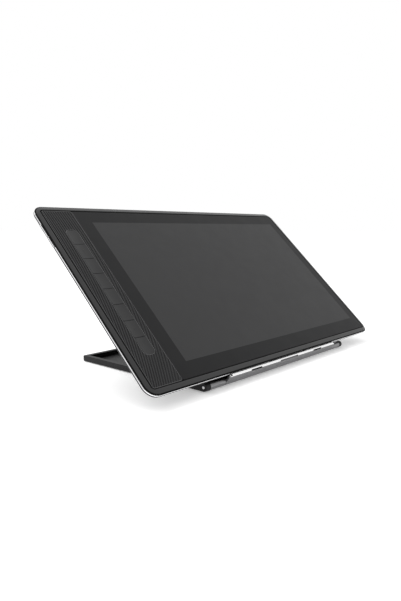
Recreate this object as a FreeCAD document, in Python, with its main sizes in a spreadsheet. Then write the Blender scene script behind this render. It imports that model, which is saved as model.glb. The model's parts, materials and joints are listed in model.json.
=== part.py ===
import FreeCAD, Part
import os
import re
import Sketcher

# Pen drawing tablet: a 16 inch class pen display resting on a black folding stand.
# Row frame: +X to the user's right, +Y away from the user, +Z up, the table at z = 0.
# Three local frames are used, and each sub-part is drawn in the one it is placed by:
#   face  - origin on the stand's hinge axis, y up the tablet's face, z out of the face
#   table - origin under the hinge axis on the table, axes as the row frame
#   strut - origin on the strut's pivot, y along the strut towards its foot
# All lengths are in millimetres and angles in degrees.

V = FreeCAD.Vector
TOUCH = 1e-4

SIZES = {
    # how the tablet stands
    "tilt": 43.5,
    "pivot_high": 5.0,
    "pivot_drop": 3.2,
    "edge_gap": 0.5,
    # outline of the tablet, built outwards from the active area of the display
    "display_wide": 349.6,
    "display_tall": 196.7,
    "left_border": 18.4,
    "right_border": 13.9,
    "low_border": 18.3,
    "top_border": 17.3,
    "plate_wide": 38.2,
    "groove_wide": 1.2,
    "seam_gap": 0.2,
    "panel_gap": 0.3,
    "rim_wide": 7.2,
    "corner_round": 13.0,
    "window_round": 2.5,
    # layers of the tablet, from the back to the face
    "shell_wall": 1.2,
    "standoff_high": 1.3,
    "board_thick": 1.0,
    "ribbon_thick": 0.3,
    "wiring_room": 0.9,
    "shield_thick": 0.4,
    "layer_gap": 0.1,
    "sensor_thick": 0.8,
    "light_thick": 1.0,
    "panel_thick": 2.9,
    "glass_clear": 0.2,
    "gasket_thick": 0.6,
    "glass_thick": 1.0,
    "face_sunk": 0.2,
    # bezel, trim and rear shell
    "slope_wide": 5.2,
    "slope_deep": 1.2,
    "trim_gap": 0.3,
    "trim_wide": 3.0,
    "trim_bevel": 1.1,
    "fit_gap": 0.1,
    "shell_step": 0.2,
    "shell_side": 0.6,
    "shell_inset": 8.8,
    "boss_inset": 13.5,
    "boss_radius": 3.1,
    "screw_radius": 1.0,
    "screw_hole": 1.2,
    "head_radius": 2.2,
    "head_thick": 1.2,
    "screw_bite": 2.0,
    "pad_radius": 6.0,
    "pad_thick": 1.6,
    "pad_sunk": 0.4,
    "pad_inset": 32.0,
    # display module
    "module_side": 4.0,
    "module_ledge": 9.5,
    "gasket_wide": 5.0,
    # express keys
    "key_wide": 14.0,
    "key_long": 20.6,
    "key_gap": 0.4,
    "key_side_gap": 0.2,
    "key_across": 21.3,
    "key_shift": 2.6,
    "key_proud": 0.2,
    "key_round": 5.0,
    "key_lip": 0.8,
    "key_lip_thick": 0.7,
    "key_travel": 0.5,
    "key_hollow_radius": 48.0,
    "stem_radius": 2.4,
    "dome_radius": 3.0,
    "dome_high": 0.5,
    "dome_gap": 0.05,
    "key_board_side": 9.1,
    "key_board_thick": 0.8,
    "key_board_end": 3.2,
    "bump_radius": 0.6,
    "bump_high": 0.25,
    "bump_root": 0.4,
    "bump_pitch": 1.8,
    # side keys
    "power_long": 14.6,
    "rocker_long": 17.0,
    "side_key_gap": 1.0,
    "side_key_low": 188.8,
    "side_key_high": 1.6,
    "side_key_proud": 0.8,
    "side_key_play": 0.15,
    "side_lip_gap": 0.3,
    "side_lip_thick": 0.6,
    "side_travel": 0.4,
    "switch_thick": 1.4,
    "switch_long": 4.0,
    "rocker_switch_inset": 3.4,
    "side_board_thick": 0.8,
    "side_board_deep": 4.2,
    # electronics
    "board_wide": 120.0,
    "board_tall": 110.0,
    "board_across": 110.0,
    "stud_inset": 6.0,
    "stud_radius": 2.5,
    "chip_thick": 0.9,
    "large_chip": 16.0,
    "large_chip_across": 24.0,
    "small_chip_wide": 8.0,
    "small_chip_tall": 10.0,
    "small_chip_across": 40.0,
    "small_chip_along": 27.5,
    "ribbon_wide": 40.0,
    "key_ribbon_wide": 12.0,
    "ribbon_lap": 6.0,
    "ribbon_inset": 1.5,
    # sockets
    "port_low": 150.0,
    "port_long": 40.0,
    "port_pitch": 18.0,
    "port_high": 4.2,
    "port_rise": 2.0,
    "port_face": 6.5,
    "port_deep": 5.5,
    "socket_wide": 9.0,
    "socket_high": 3.2,
    "socket_deep": 7.4,
    "socket_wall": 0.3,
    "tongue_wide": 6.6,
    "tongue_thick": 0.7,
    "tongue_back": 0.9,
    "port_board_deep": 11.0,
    # base of the stand
    "stand_shift": 4.6,
    "base_wide": 284.0,
    "base_reach": 196.7,
    "base_low": 0.8,
    "floor_thick": 1.0,
    "floor_clear": 2.25,
    "rail_wide": 6.0,
    "rail_high": 7.7,
    "rail_bevel": 0.5,
    "ear_radius": 4.2,
    "base_foot_wide": 8.0,
    "base_foot_side": 30.0,
    "base_foot_inset": 8.0,
    "base_foot_sunk": 0.4,
    # hinge
    "pin_radius": 1.5,
    "pin_proud": 0.4,
    "run_gap": 0.05,
    "tube_radius": 4.25,
    "washer_radius": 4.4,
    "washer_thick": 0.8,
    "sleeve_long": 24.0,
    "joint_gap": 0.3,
    # rest bar
    "rest_out": 3.0,
    "rest_in": 0.3,
    "rest_top": 12.1,
    "rest_round": 3.5,
    "rest_bevel": 0.5,
    "slot_across": 65.0,
    "slot_long": 19.5,
    "mid_slot_long": 37.4,
    "slot_sunk": 1.0,
    "slot_deep": 1.8,
    "tongue_reach": 22.0,
    "tongue_start": 3.2,
    "tongue_deep": 1.5,
    "tongue_side": 12.0,
    "grip_sunk": 0.8,
    "grip_proud": 0.1,
    "grip_high": 3.4,
    "grip_below": 0.7,
    "grip_long": 40.0,
    "plug_radius": 1.1,
    "plug_deep": 3.0,
    "plug_inset": 2.6,
    # support plate
    "plate_low": 0.1,
    "plate_thick": 2.0,
    "plate_clear": 0.75,
    "plate_round": 8.0,
    "fold_gap": 2.0,
    "cushion_thick": 1.0,
    "cushion_long": 44.0,
    "cushion_wide": 9.0,
    "cushion_inset": 22.0,
    "bolt_radius": 1.0,
    "bolt_head_radius": 2.0,
    "bolt_head_thick": 0.9,
    "bolt_along": 14.0,
    "bolt_across": 80.0,
    "bolt_bite": 1.0,
    # strut
    "strut_margin": 14.7,
    "strut_hang": 1.5,
    "strut_wide": 130.0,
    "strut_thick": 1.6,
    "knuckle_radius": 1.4,
    "strut_pin_radius": 0.8,
    "lug_thick": 3.0,
    "lug_side": 3.0,
    "foot_radius": 1.4,
    "foot_grip": 0.9,
    "rack_wide": 134.0,
    "rack_sheet": 0.2,
    "rack_rib": 0.5,
    "rack_rib_wide": 1.4,
    "rack_pitch": 9.0,
}
KEYS = 8
RACK_RIBS = range(-3, 2)
LINKS = {name: f"sizes.{name}" for name in SIZES}

# Places that follow from the sizes. Face frame, across the tablet (x).
TABLET_WIDE = ("(2 * rim_wide + groove_wide + plate_wide + seam_gap + left_border"
               " + display_wide + right_border + panel_gap)")
LEFT = f"(-{TABLET_WIDE} / 2)"
RIGHT = f"({TABLET_WIDE} / 2)"
PLATE_LEFT = f"({LEFT} + rim_wide + groove_wide)"
PLATE_RIGHT = f"({PLATE_LEFT} + plate_wide)"
GLASS_LEFT = f"({PLATE_RIGHT} + seam_gap)"
SCREEN_LEFT = f"({GLASS_LEFT} + left_border)"
SCREEN_RIGHT = f"({SCREEN_LEFT} + display_wide)"
GLASS_RIGHT = f"({SCREEN_RIGHT} + right_border)"
KEY_MID = f"({PLATE_LEFT} + key_across)"
# Face frame, up the tablet (y).
TABLET_TALL = "(2 * rim_wide + 2 * panel_gap + low_border + display_tall + top_border)"
LOW = "edge_gap"
HIGH = f"(edge_gap + {TABLET_TALL})"
MIDDLE = f"(edge_gap + {TABLET_TALL} / 2)"
GLASS_LOW = f"({LOW} + rim_wide + panel_gap)"
GLASS_HIGH = f"({HIGH} - rim_wide - panel_gap)"
SCREEN_LOW = f"({GLASS_LOW} + low_border)"
SCREEN_HIGH = f"({SCREEN_LOW} + display_tall)"
STRIP_LONG = f"({KEYS} * key_long + {KEYS - 1} * key_gap)"
STRIP_LOW = f"({MIDDLE} + key_shift - {STRIP_LONG} / 2)"
STRIP_HIGH = f"({STRIP_LOW} + {STRIP_LONG})"
SIDE_LIP = f"({LEFT} + trim_wide + side_lip_gap)"
SIDE_SWITCH = f"({SIDE_LIP} + side_lip_thick + side_travel + fit_gap)"
POWER_LOW = "side_key_low"
ROCKER_LOW = "(side_key_low + power_long + side_key_gap)"
SIDE_KEYS_HIGH = f"({ROCKER_LOW} + rocker_long)"
# Face frame, out of the face (z), each the low side of what it names.
BACK = "pivot_drop"
FLOOR = f"({BACK} + shell_wall)"
BOARD = f"({FLOOR} + standoff_high)"
WIRES = f"({BOARD} + board_thick)"
SHIELD = f"({WIRES} + ribbon_thick + wiring_room)"
SENSOR = f"({SHIELD} + shield_thick + layer_gap)"
LIGHT = f"({SENSOR} + sensor_thick + layer_gap)"
RIM = f"({LIGHT} + light_thick)"
PANEL = f"({RIM} + layer_gap)"
DECK = f"({PANEL} + panel_thick + glass_clear - gasket_thick)"
GLASS = f"({DECK} + gasket_thick)"
FACE = f"({GLASS} + glass_thick)"
FRONT = f"({FACE} + face_sunk)"
TRIM_TOP = f"({DECK} - trim_gap)"
DOME_TOP = f"({RIM} + dome_high)"
SIDE_KEY_BASE = f"({RIM} + side_key_play)"
SIDE_KEY_TOP = f"({SIDE_KEY_BASE} + side_key_high)"
# Stand, across (measured from the stand's middle).
BASE_HALF = "(base_wide / 2)"
SLEEVE_OUT = f"({BASE_HALF} - rail_wide - washer_thick - fit_gap)"
WASHER_IN = f"({SLEEVE_OUT} + fit_gap / 2)"
SLEEVE_IN = f"({SLEEVE_OUT} - sleeve_long)"
REST_HALF = f"({SLEEVE_IN} - joint_gap)"
PLATE_HALF = f"({BASE_HALF} - rail_wide - fold_gap)"
PLATE_START = "(tube_radius + plate_clear)"
PLATE_END = "(base_reach - rail_wide - fold_gap)"
PLATE_TOP = "(plate_low + plate_thick)"
TRAY_START = "(tube_radius + floor_clear)"
TRAY_FLOOR = "(base_low + floor_thick)"
# Strut: as long as its pivot's distance from the hinge, so that its foot runs along a straight line.
STRUT_ARM = "((base_reach - rail_wide - strut_margin) / 2)"
STRUT_LONG = f"sqrt({STRUT_ARM} ^ 2 + strut_hang ^ 2)"
COS = "cos(tilt * 1 deg)"
SIN = "sin(tilt * 1 deg)"
FOOT_REST = f"(({STRUT_ARM} + {STRUT_LONG}) * {COS} + strut_hang * {SIN})"
# The row frame's origin is under the middle of the whole object, and this is the hinge axis's y there.
PIVOT_BACK = f"((rest_out * {COS} + rest_top * {SIN} - base_reach) / 2)"

DOC = FreeCAD.newDocument("pen_drawing_tablet")


def fill_sheet():
    """Writes the driving sizes into the document's spreadsheet."""
    sheet = DOC.addObject("Spreadsheet::Sheet", "sizes")
    for row, (name, value) in enumerate(SIZES.items(), 1):
        sheet.set(f"A{row}", name)
        sheet.set(f"B{row}", str(value))
        sheet.setAlias(f"B{row}", name)
    DOC.recompute()


def bind(thing, path, text):
    """Ties one property to an expression over the sheet's aliases."""
    linked = re.sub(r"[a-z_]+", lambda word: LINKS.get(word.group(), word.group()), text)
    thing.setExpression(path, linked)


def spread(half, middle="stand_shift"):
    """The range that reaches half to either side of a middle."""
    return f"{middle} - ({half})", f"{middle} + ({half})"


def tilted(body, angle, back, up):
    """Places a body by a turn about X and a point on the turned frame's origin."""
    body.Placement = FreeCAD.Placement(V(0, 0, 0), FreeCAD.Rotation(V(1, 0, 0), 1))
    bind(body, "Placement.Rotation.Angle", angle)
    bind(body, "Placement.Base.y", back)
    bind(body, "Placement.Base.z", up)


def in_face(body):
    """Places a body drawn in the face frame."""
    tilted(body, "tilt", PIVOT_BACK, "pivot_high")


def unplaced(body):
    """Leaves a body that another body takes over in that body's own frame."""


def on_table(body):
    """Places a body drawn in the table frame."""
    bind(body, "Placement.Base.y", PIVOT_BACK)


def on_strut(body):
    """Places a body drawn in the strut frame."""
    back = f"{PIVOT_BACK} + {STRUT_ARM} * {COS} + strut_hang * {SIN}"
    up = f"pivot_high + {STRUT_ARM} * {SIN} - strut_hang * {COS}"
    tilted(body, "-tilt", back, up)


def upright(shape, edge):
    """Whether an edge is straight and runs along z."""
    return edge.Curve.TypeId == "Part::GeomLine" and abs(edge.tangentAt(edge.FirstParameter).z) > 0.999


def at_corner(shape, edge):
    """Whether an upright edge is one of the four corners of the shape's outline."""
    box, middle = shape.BoundBox, edge.CenterOfMass
    ends_x = min(abs(middle.x - box.XMin), abs(middle.x - box.XMax)) < TOUCH
    return upright(shape, edge) and ends_x and min(abs(middle.y - box.YMin), abs(middle.y - box.YMax)) < TOUCH


def low_corner(shape, edge):
    """Whether an upright edge is a corner of the outline at its low y end."""
    return at_corner(shape, edge) and edge.CenterOfMass.y < shape.BoundBox.Center.y


def high_corner(shape, edge):
    """Whether an upright edge is a corner of the outline at its high y end."""
    return at_corner(shape, edge) and edge.CenterOfMass.y > shape.BoundBox.Center.y


def inside_corner(shape, edge):
    """Whether an upright edge is a corner of an opening and not of the outline."""
    box, middle = shape.BoundBox, edge.CenterOfMass
    clear_x = min(middle.x - box.XMin, box.XMax - middle.x) > TOUCH
    return upright(shape, edge) and clear_x and min(middle.y - box.YMin, box.YMax - middle.y) > TOUCH


def on_top(shape, edge):
    """Whether an edge or face lies in the highest plane."""
    return shape.BoundBox.ZMax - edge.BoundBox.ZMin < TOUCH


def round_top(shape, edge):
    """Whether an edge belongs to the outline's loop on the top face."""
    outer, inner = shape.BoundBox, edge.BoundBox
    sides = (inner.XMin - outer.XMin, outer.XMax - inner.XMax,
             inner.YMin - outer.YMin, outer.YMax - inner.YMax)
    return on_top(shape, edge) and min(sides) < TOUCH


def front_top(shape, edge):
    """Whether an edge is the front edge of the top face."""
    return on_top(shape, edge) and edge.BoundBox.YMax - shape.BoundBox.YMin < TOUCH


def on_bottom(shape, edge):
    """Whether an edge or face lies in the lowest plane."""
    return edge.BoundBox.ZMax - shape.BoundBox.ZMin < TOUCH


class Piece:
    """One sub-part: a PartDesign body, built feature by feature in its local frame."""

    made = []

    def __init__(self, label, place):
        self.body = DOC.addObject("PartDesign::Body", label)
        self.body.Label = label
        self.pockets = []
        place(self.body)
        Piece.made.append(self)

    def sketch(self, level, role="XY_Plane"):
        """A sketch parallel to one of the body's planes, at a level along its normal."""
        sketch = self.body.newObject("Sketcher::SketchObject", f"{self.body.Name}_sketch")
        plane = next(item for item in self.body.Origin.OriginFeatures if item.Role == role)
        sketch.AttachmentSupport = [(plane, "")]
        sketch.MapMode = "FlatFace"
        bind(sketch, "AttachmentOffset.Base.z", level)
        return sketch

    def tie(self, sketch, kind, geometry, point, text):
        """Constrains a point's distance from the sketch's origin to an expression."""
        index = sketch.addConstraint(Sketcher.Constraint(kind, -1, 1, geometry, point, 1.0))
        bind(sketch, f"Constraints[{index}]", text)

    def rectangle(self, sketch, across, along):
        """Adds a rectangle between two pairs of expressions."""
        first = sketch.GeometryCount
        corners = [V(0, 0, 0), V(1, 0, 0), V(1, 1, 0), V(0, 1, 0)]
        for index in range(4):
            sketch.addGeometry(Part.LineSegment(corners[index], corners[(index + 1) % 4]), False)
        for index in range(4):
            following = first + (index + 1) % 4
            sketch.addConstraint(Sketcher.Constraint("Coincident", first + index, 2, following, 1))
            direction = ("Horizontal", "Vertical")[index % 2]
            sketch.addConstraint(Sketcher.Constraint(direction, first + index))
        for corner, place in ((first, 0), (first + 2, 1)):
            self.tie(sketch, "DistanceX", corner, 1, across[place])
            self.tie(sketch, "DistanceY", corner, 1, along[place])

    def circle(self, sketch, centre, radius):
        """Adds a circle with its centre and radius given as expressions."""
        index = sketch.addGeometry(Part.Circle(V(0, 0, 0), V(0, 0, 1), 1.0), False)
        self.tie(sketch, "DistanceX", index, 3, centre[0])
        self.tie(sketch, "DistanceY", index, 3, centre[1])
        size = sketch.addConstraint(Sketcher.Constraint("Radius", index, 1.0))
        bind(sketch, f"Constraints[{size}]", radius)

    def pad(self, sketch, length):
        """Raises a sketch into a solid."""
        feature = self.body.newObject("PartDesign::Pad", f"{self.body.Name}_pad")
        feature.Profile = sketch
        bind(feature, "Length", length)

    def pocket(self, sketch, length):
        """Cuts a sketch out of the solid, against the sketch's normal."""
        feature = self.body.newObject("PartDesign::Pocket", f"{self.body.Name}_pocket")
        feature.Profile = sketch
        bind(feature, "Length", length)
        self.pockets.append(feature)

    def slab(self, *boxes):
        """Adds boxes of one height: each is (across, along), and the last argument is (low, high)."""
        low, high = boxes[-1]
        sketch = self.sketch(low)
        for across, along in boxes[:-1]:
            self.rectangle(sketch, across, along)
        self.pad(sketch, f"({high}) - ({low})")
        return self

    def cut(self, *boxes):
        """Removes boxes of one height, given as for slab."""
        low, high = boxes[-1]
        sketch = self.sketch(high)
        for across, along in boxes[:-1]:
            self.rectangle(sketch, across, along)
        self.pocket(sketch, f"({high}) - ({low})")
        return self

    def rods(self, centres, radius, low, high):
        """Adds round posts along z."""
        sketch = self.sketch(low)
        for centre in centres:
            self.circle(sketch, centre, radius)
        self.pad(sketch, f"({high}) - ({low})")
        return self

    def bore(self, centres, radius, low, high):
        """Removes round holes along z."""
        sketch = self.sketch(high)
        for centre in centres:
            self.circle(sketch, centre, radius)
        self.pocket(sketch, f"({high}) - ({low})")
        return self

    def axle(self, centre, radius, across, hole=None):
        """Adds a cylinder along x, or a tube with a hole."""
        sketch = self.sketch(across[0], "YZ_Plane")
        self.circle(sketch, centre, radius)
        if hole:
            self.circle(sketch, centre, hole)
        self.pad(sketch, f"({across[1]}) - ({across[0]})")
        return self

    def drill(self, centre, radius, across):
        """Removes a cylinder along x."""
        sketch = self.sketch(across[1], "YZ_Plane")
        self.circle(sketch, centre, radius)
        self.pocket(sketch, f"({across[1]}) - ({across[0]})")
        return self

    def edges(self, chosen):
        """The last feature and the names of its edges that the test picks."""
        DOC.recompute()
        tip = self.body.Tip
        shape = tip.Shape.copy()
        shape.Placement = FreeCAD.Placement()
        names = [f"Edge{index}" for index, edge in enumerate(shape.Edges, 1) if chosen(shape, edge)]
        if not names:
            raise RuntimeError(f"{self.body.Label}: no edge to dress")
        return tip, names

    def round(self, radius, chosen):
        """Fillets the edges that the test picks."""
        base = self.edges(chosen)
        feature = self.body.newObject("PartDesign::Fillet", f"{self.body.Name}_fillet")
        feature.Base = base
        bind(feature, "Radius", radius)
        return self

    def bevel(self, size, chosen, second=None):
        """Chamfers the edges that the test picks, with two distances if a second is given."""
        base = self.edges(chosen)
        feature = self.body.newObject("PartDesign::Chamfer", f"{self.body.Name}_chamfer")
        feature.Base = base
        bind(feature, "Size", size)
        if second:
            feature.ChamferType = "Two distances"
            bind(feature, "Size2", second)
        return self

    def hollow(self, wall):
        """Opens the top and bottom faces and leaves a wall round the outline."""
        DOC.recompute()
        tip = self.body.Tip
        shape = tip.Shape.copy()
        shape.Placement = FreeCAD.Placement()
        names = [f"Face{index}" for index, face in enumerate(shape.Faces, 1)
                 if on_top(shape, face) or on_bottom(shape, face)]
        feature = self.body.newObject("PartDesign::Thickness", f"{self.body.Name}_shell")
        feature.Base = (tip, names)
        feature.Reversed = True
        feature.Join = 1
        bind(feature, "Value", wall)
        return self

    def subtract(self, core):
        """Removes the solid of another piece, which is drawn in the same frame and used up."""
        Piece.made.remove(core)
        feature = self.body.newObject("PartDesign::Boolean", f"{self.body.Name}_cavity")
        feature.setObjects([core.body])
        feature.Type = "Cut"
        return self


def ranges(left, right, low, high, grow="0"):
    """An (across, along) pair, made larger all round by grow."""
    return (f"{left} - ({grow})", f"{right} + ({grow})"), (f"{low} - ({grow})", f"{high} + ({grow})")


def module_area(grow="0"):
    """The display module's place, with its longer lower ledge, made larger all round by grow."""
    return ranges(f"{SCREEN_LEFT} - module_side", f"{SCREEN_RIGHT} + module_side",
                  f"{SCREEN_LOW} - module_ledge", f"{SCREEN_HIGH} + module_side", grow)


OUTLINE = ranges(LEFT, RIGHT, LOW, HIGH)
BOSSES = [(f"{side} * ({RIGHT} - boss_inset)", place) for side in (-1, 1)
          for place in (f"{LOW} + boss_inset", MIDDLE, f"{HIGH} - boss_inset")]
BOSSES += [("0", f"{LOW} + boss_inset"), ("0", f"{HIGH} - boss_inset")]
REAR_PADS = [(f"{side} * ({RIGHT} - pad_inset)", place) for side in (-1, 1)
             for place in (f"{LOW} + pad_inset", f"{HIGH} - pad_inset")]
STUDS = [(f"board_across + {side} * (board_wide / 2 - stud_inset)",
          f"{MIDDLE} + {end} * (board_tall / 2 - stud_inset)") for side in (-1, 1) for end in (-1, 1)]
PORTS = [f"port_low + port_long / 2 + {side} * port_pitch / 2" for side in (-1, 1)]
SOCKET_LOW = f"({BACK} + port_rise + (port_high - socket_high) / 2)"
FOOT_RUNS = [(f"{TRAY_START} + base_foot_inset", f"{TRAY_START} + base_foot_inset + base_foot_wide"),
             ("base_reach - base_foot_inset - base_foot_wide", "base_reach - base_foot_inset")]
GRIPS = [(spread("grip_long / 2", f"stand_shift + {side} * slot_across"), ("rest_in - grip_sunk", "rest_in"))
         for side in (-1, 0, 1)]
PLUGS = [(f"stand_shift + {side} * ({REST_HALF} - plug_inset)", "(rest_in - rest_out) / 2")
         for side in (-1, 1)]
BOLTS = [(f"stand_shift + {side} * bolt_across", "bolt_along") for side in (-1, 0, 1)]


# The tablet's casing

def front_bezel():
    """The rim round the face: flat inside, sloping to the edge."""
    piece = Piece("front_bezel", in_face).slab(OUTLINE, (DECK, FRONT)).round("corner_round", at_corner)
    piece.cut(ranges(LEFT, RIGHT, LOW, HIGH, "-rim_wide"), (DECK, FRONT)).round("window_round", inside_corner)
    piece.bevel("slope_deep", round_top, "slope_wide")


def trim_frame():
    """The bright metal band round the side, with its bevelled upper edge."""
    piece = Piece("trim_frame", in_face).slab(OUTLINE, (RIM, TRIM_TOP)).round("corner_round", at_corner)
    piece.hollow("trim_wide")
    piece.bevel("trim_bevel", round_top)
    for low, long in ((POWER_LOW, "power_long"), (ROCKER_LOW, "rocker_long")):
        slot = (f"{LEFT} - trim_wide", f"{LEFT} + trim_wide + fit_gap"), (low, f"{low} + {long}")
        piece.cut(slot, (RIM, f"{SIDE_KEY_TOP} + side_key_play"))


def shell_solid(label, place, low, high, step):
    """A solid with the rear shell's outline set in by a step, and its sloping lower edge."""
    piece = Piece(label, place).slab(ranges(LEFT, RIGHT, LOW, HIGH, f"-({step})"), (low, high))
    piece.round(f"corner_round - ({step})", at_corner)
    return piece.bevel(f"{RIM} - {BACK} - shell_side", on_bottom, "shell_inset")


def rear_shell():
    """The tray that closes the back, with screw bosses, board studs and the window for the sockets."""
    piece = shell_solid("rear_shell", in_face, BACK, RIM, "shell_step")
    piece.subtract(shell_solid("shell_cavity", unplaced, FLOOR, f"{RIM} + shell_wall",
                               "shell_step + shell_wall"))
    piece.rods(BOSSES, "boss_radius", f"{BACK} + shell_wall / 2", RIM)
    piece.rods(STUDS, "stud_radius", f"{BACK} + shell_wall / 2", BOARD)
    piece.bore(BOSSES, "head_radius", BACK, f"{BACK} + head_thick")
    piece.bore(BOSSES, "screw_hole", BACK, RIM)
    piece.bore(REAR_PADS, "pad_radius", BACK, f"{BACK} + pad_sunk")
    window = (f"{RIGHT} - port_face - port_deep", RIGHT), ("port_low", "port_low + port_long")
    piece.cut(window, (f"{BACK} + port_rise", f"{BACK} + port_rise + port_high"))


def mid_frame():
    """The plastic deck that the glass, the key plate, the display and the bezel are fixed to."""
    piece = Piece("mid_frame", in_face)
    piece.slab(ranges(LEFT, RIGHT, LOW, HIGH, "-trim_wide - fit_gap"), (RIM, DECK))
    piece.round("corner_round - trim_wide - fit_gap", at_corner)
    keys = (spread("key_wide / 2 + key_lip + key_side_gap", KEY_MID),
            (f"{STRIP_LOW} - key_gap", f"{STRIP_HIGH} + key_gap"))
    notch_right = f"{SIDE_SWITCH} + switch_thick + side_board_thick + fit_gap"
    notch = (LEFT, notch_right), (f"{POWER_LOW} - side_key_gap", f"{SIDE_KEYS_HIGH} + side_key_gap")
    piece.cut(module_area("layer_gap"), keys, notch, (RIM, DECK))
    piece.bore(BOSSES, "screw_radius", RIM, f"{RIM} + screw_bite")


def rear_screws():
    """The eight screws that close the tablet from behind."""
    piece = Piece("rear_screws", in_face)
    piece.rods(BOSSES, "head_radius - fit_gap", f"{BACK} + fit_gap", f"{BACK} + head_thick")
    piece.rods(BOSSES, "screw_radius", f"{BACK} + fit_gap", f"{RIM} + screw_bite")


def rear_feet():
    """The four round feet, sunk a little into the shell."""
    piece = Piece("rear_feet", in_face)
    piece.rods(REAR_PADS, "pad_radius", f"{BACK} + pad_sunk - pad_thick", f"{BACK} + pad_sunk")


# The display

def cover_glass():
    """The etched glass over the display and its black borders."""
    piece = Piece("cover_glass", in_face)
    piece.slab(ranges(GLASS_LEFT, GLASS_RIGHT, GLASS_LOW, GLASS_HIGH), (GLASS, FACE))
    piece.round("window_round - panel_gap", at_corner)


def glass_gasket():
    """The foam tape that holds the glass to the deck, all round the display."""
    Piece("glass_gasket", in_face).slab(module_area("gasket_wide"), module_area("layer_gap"), (DECK, GLASS))


def display_panel():
    """The display itself, longer than the other layers at its lower ledge."""
    Piece("display_panel", in_face).slab(module_area(), (PANEL, f"{PANEL} + panel_thick"))


def stack_layer(label, low, thick):
    """One flat layer of the display module under the panel."""
    area = ranges(SCREEN_LEFT, SCREEN_RIGHT, SCREEN_LOW, SCREEN_HIGH, "module_side")
    Piece(label, in_face).slab(area, (low, f"{low} + {thick}"))


# The express keys

def key_plate():
    """The textured plate that the row of keys comes through."""
    piece = Piece("key_plate", in_face)
    piece.slab(ranges(PLATE_LEFT, PLATE_RIGHT, GLASS_LOW, GLASS_HIGH), (DECK, FACE))
    piece.round("window_round - panel_gap", at_corner)
    window = (spread("key_wide / 2 + key_side_gap", KEY_MID),
              (f"{STRIP_LOW} - key_side_gap", f"{STRIP_HIGH} + key_side_gap"))
    piece.cut(window, (DECK, FACE)).round("key_round + key_side_gap", inside_corner)


def key(index):
    """One key: a cap dished from side to side, lips that hold it under the plate, and a stem."""
    low = f"({STRIP_LOW} + {index} * (key_long + key_gap))"
    lip_top = f"({DECK} - dome_gap)"
    lip_low = f"({lip_top} - key_lip_thick)"
    along = (low, f"{low} + key_long")
    piece = Piece(f"key_{KEYS - index}", in_face)
    piece.slab((spread("key_wide / 2", KEY_MID), along), (lip_top, f"{FACE} + key_proud"))
    if index in (0, KEYS - 1):
        piece.round("key_round", high_corner if index else low_corner)
    dish = piece.sketch(f"key_gap - {low}", "XZ_Plane")
    piece.circle(dish, (KEY_MID, f"{FACE} + key_hollow_radius - key_proud"), "key_hollow_radius")
    piece.pocket(dish, "key_long + 2 * key_gap")
    lip_along = (f"{low} + key_round", f"{low} + key_long - key_round")
    piece.slab((spread("key_wide / 2 + key_lip", KEY_MID), lip_along), (lip_low, lip_top))
    middle = (KEY_MID, f"{low} + key_long / 2")
    piece.rods([middle], "stem_radius", f"{DOME_TOP} + dome_gap + key_travel", lip_top)
    bumps = {KEYS - 2: (-1, 0, 1), 1: (0,)}.get(index, ())
    if bumps:
        places = [(KEY_MID, f"{low} + key_long / 2 + {step} * bump_pitch") for step in bumps]
        piece.rods(places, "bump_radius", f"{FACE} - bump_root", f"{FACE} - key_proud + bump_high")


def key_board():
    """The narrow board under the row of keys."""
    along = (f"{STRIP_LOW} - key_board_end", f"{STRIP_HIGH} + key_board_end")
    sheet = (spread("key_board_side", KEY_MID), along)
    Piece("key_board", in_face).slab(sheet, (f"{RIM} - key_board_thick", RIM))


def key_domes():
    """One metal dome under each key."""
    places = [(KEY_MID, f"{STRIP_LOW} + key_long / 2 + {index} * (key_long + key_gap)")
              for index in range(KEYS)]
    Piece("key_domes", in_face).rods(places, "dome_radius", RIM, DOME_TOP)


# The side keys

def side_key(label, low, long):
    """A key in the side band, with a lip behind the band that keeps it in."""
    piece = Piece(label, in_face)
    along = (f"{low} + side_key_play", f"{low} + {long} - side_key_play")
    piece.slab(((f"{LEFT} - side_key_proud", SIDE_LIP), along), (SIDE_KEY_BASE, SIDE_KEY_TOP))
    lip_along = (f"{low} - side_key_play", f"{low} + {long} + side_key_play")
    piece.slab(((SIDE_LIP, f"{SIDE_LIP} + side_lip_thick"), lip_along), (SIDE_KEY_BASE, SIDE_KEY_TOP))


def side_switches():
    """The three switches behind the side keys: one for the power key, one under each end of the rocker."""
    middles = (f"{POWER_LOW} + power_long / 2", f"{ROCKER_LOW} + rocker_switch_inset",
               f"{SIDE_KEYS_HIGH} - rocker_switch_inset")
    across = (SIDE_SWITCH, f"{SIDE_SWITCH} + switch_thick")
    places = [(across, spread("switch_long / 2", middle)) for middle in middles]
    Piece("side_switches", in_face).slab(*places, (SIDE_KEY_BASE, SIDE_KEY_TOP))


def side_board():
    """The board on edge that carries the side switches."""
    low_x = f"{SIDE_SWITCH} + switch_thick"
    sheet = ((low_x, f"{low_x} + side_board_thick"), (POWER_LOW, SIDE_KEYS_HIGH))
    Piece("side_board", in_face).slab(sheet, (f"{SIDE_KEY_TOP} - side_board_deep", SIDE_KEY_TOP))


# The electronics

def main_board():
    """The board on the shell's studs."""
    sheet = (spread("board_wide / 2", "board_across"), spread("board_tall / 2", MIDDLE))
    Piece("main_board", in_face).slab(sheet, (BOARD, WIRES))


def board_chips():
    """The packages on the board's underside: two large, four small."""
    places = [(spread("large_chip / 2", f"board_across + {side} * large_chip_across"),
               spread("large_chip / 2", MIDDLE)) for side in (-1, 1)]
    places += [(spread("small_chip_wide / 2", f"board_across + {side} * small_chip_across"),
                spread("small_chip_tall / 2", f"{MIDDLE} + {end} * small_chip_along"))
               for side in (-1, 1) for end in (-1, 1)]
    Piece("board_chips", in_face).slab(*places, (f"{BOARD} - chip_thick", BOARD))


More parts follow.
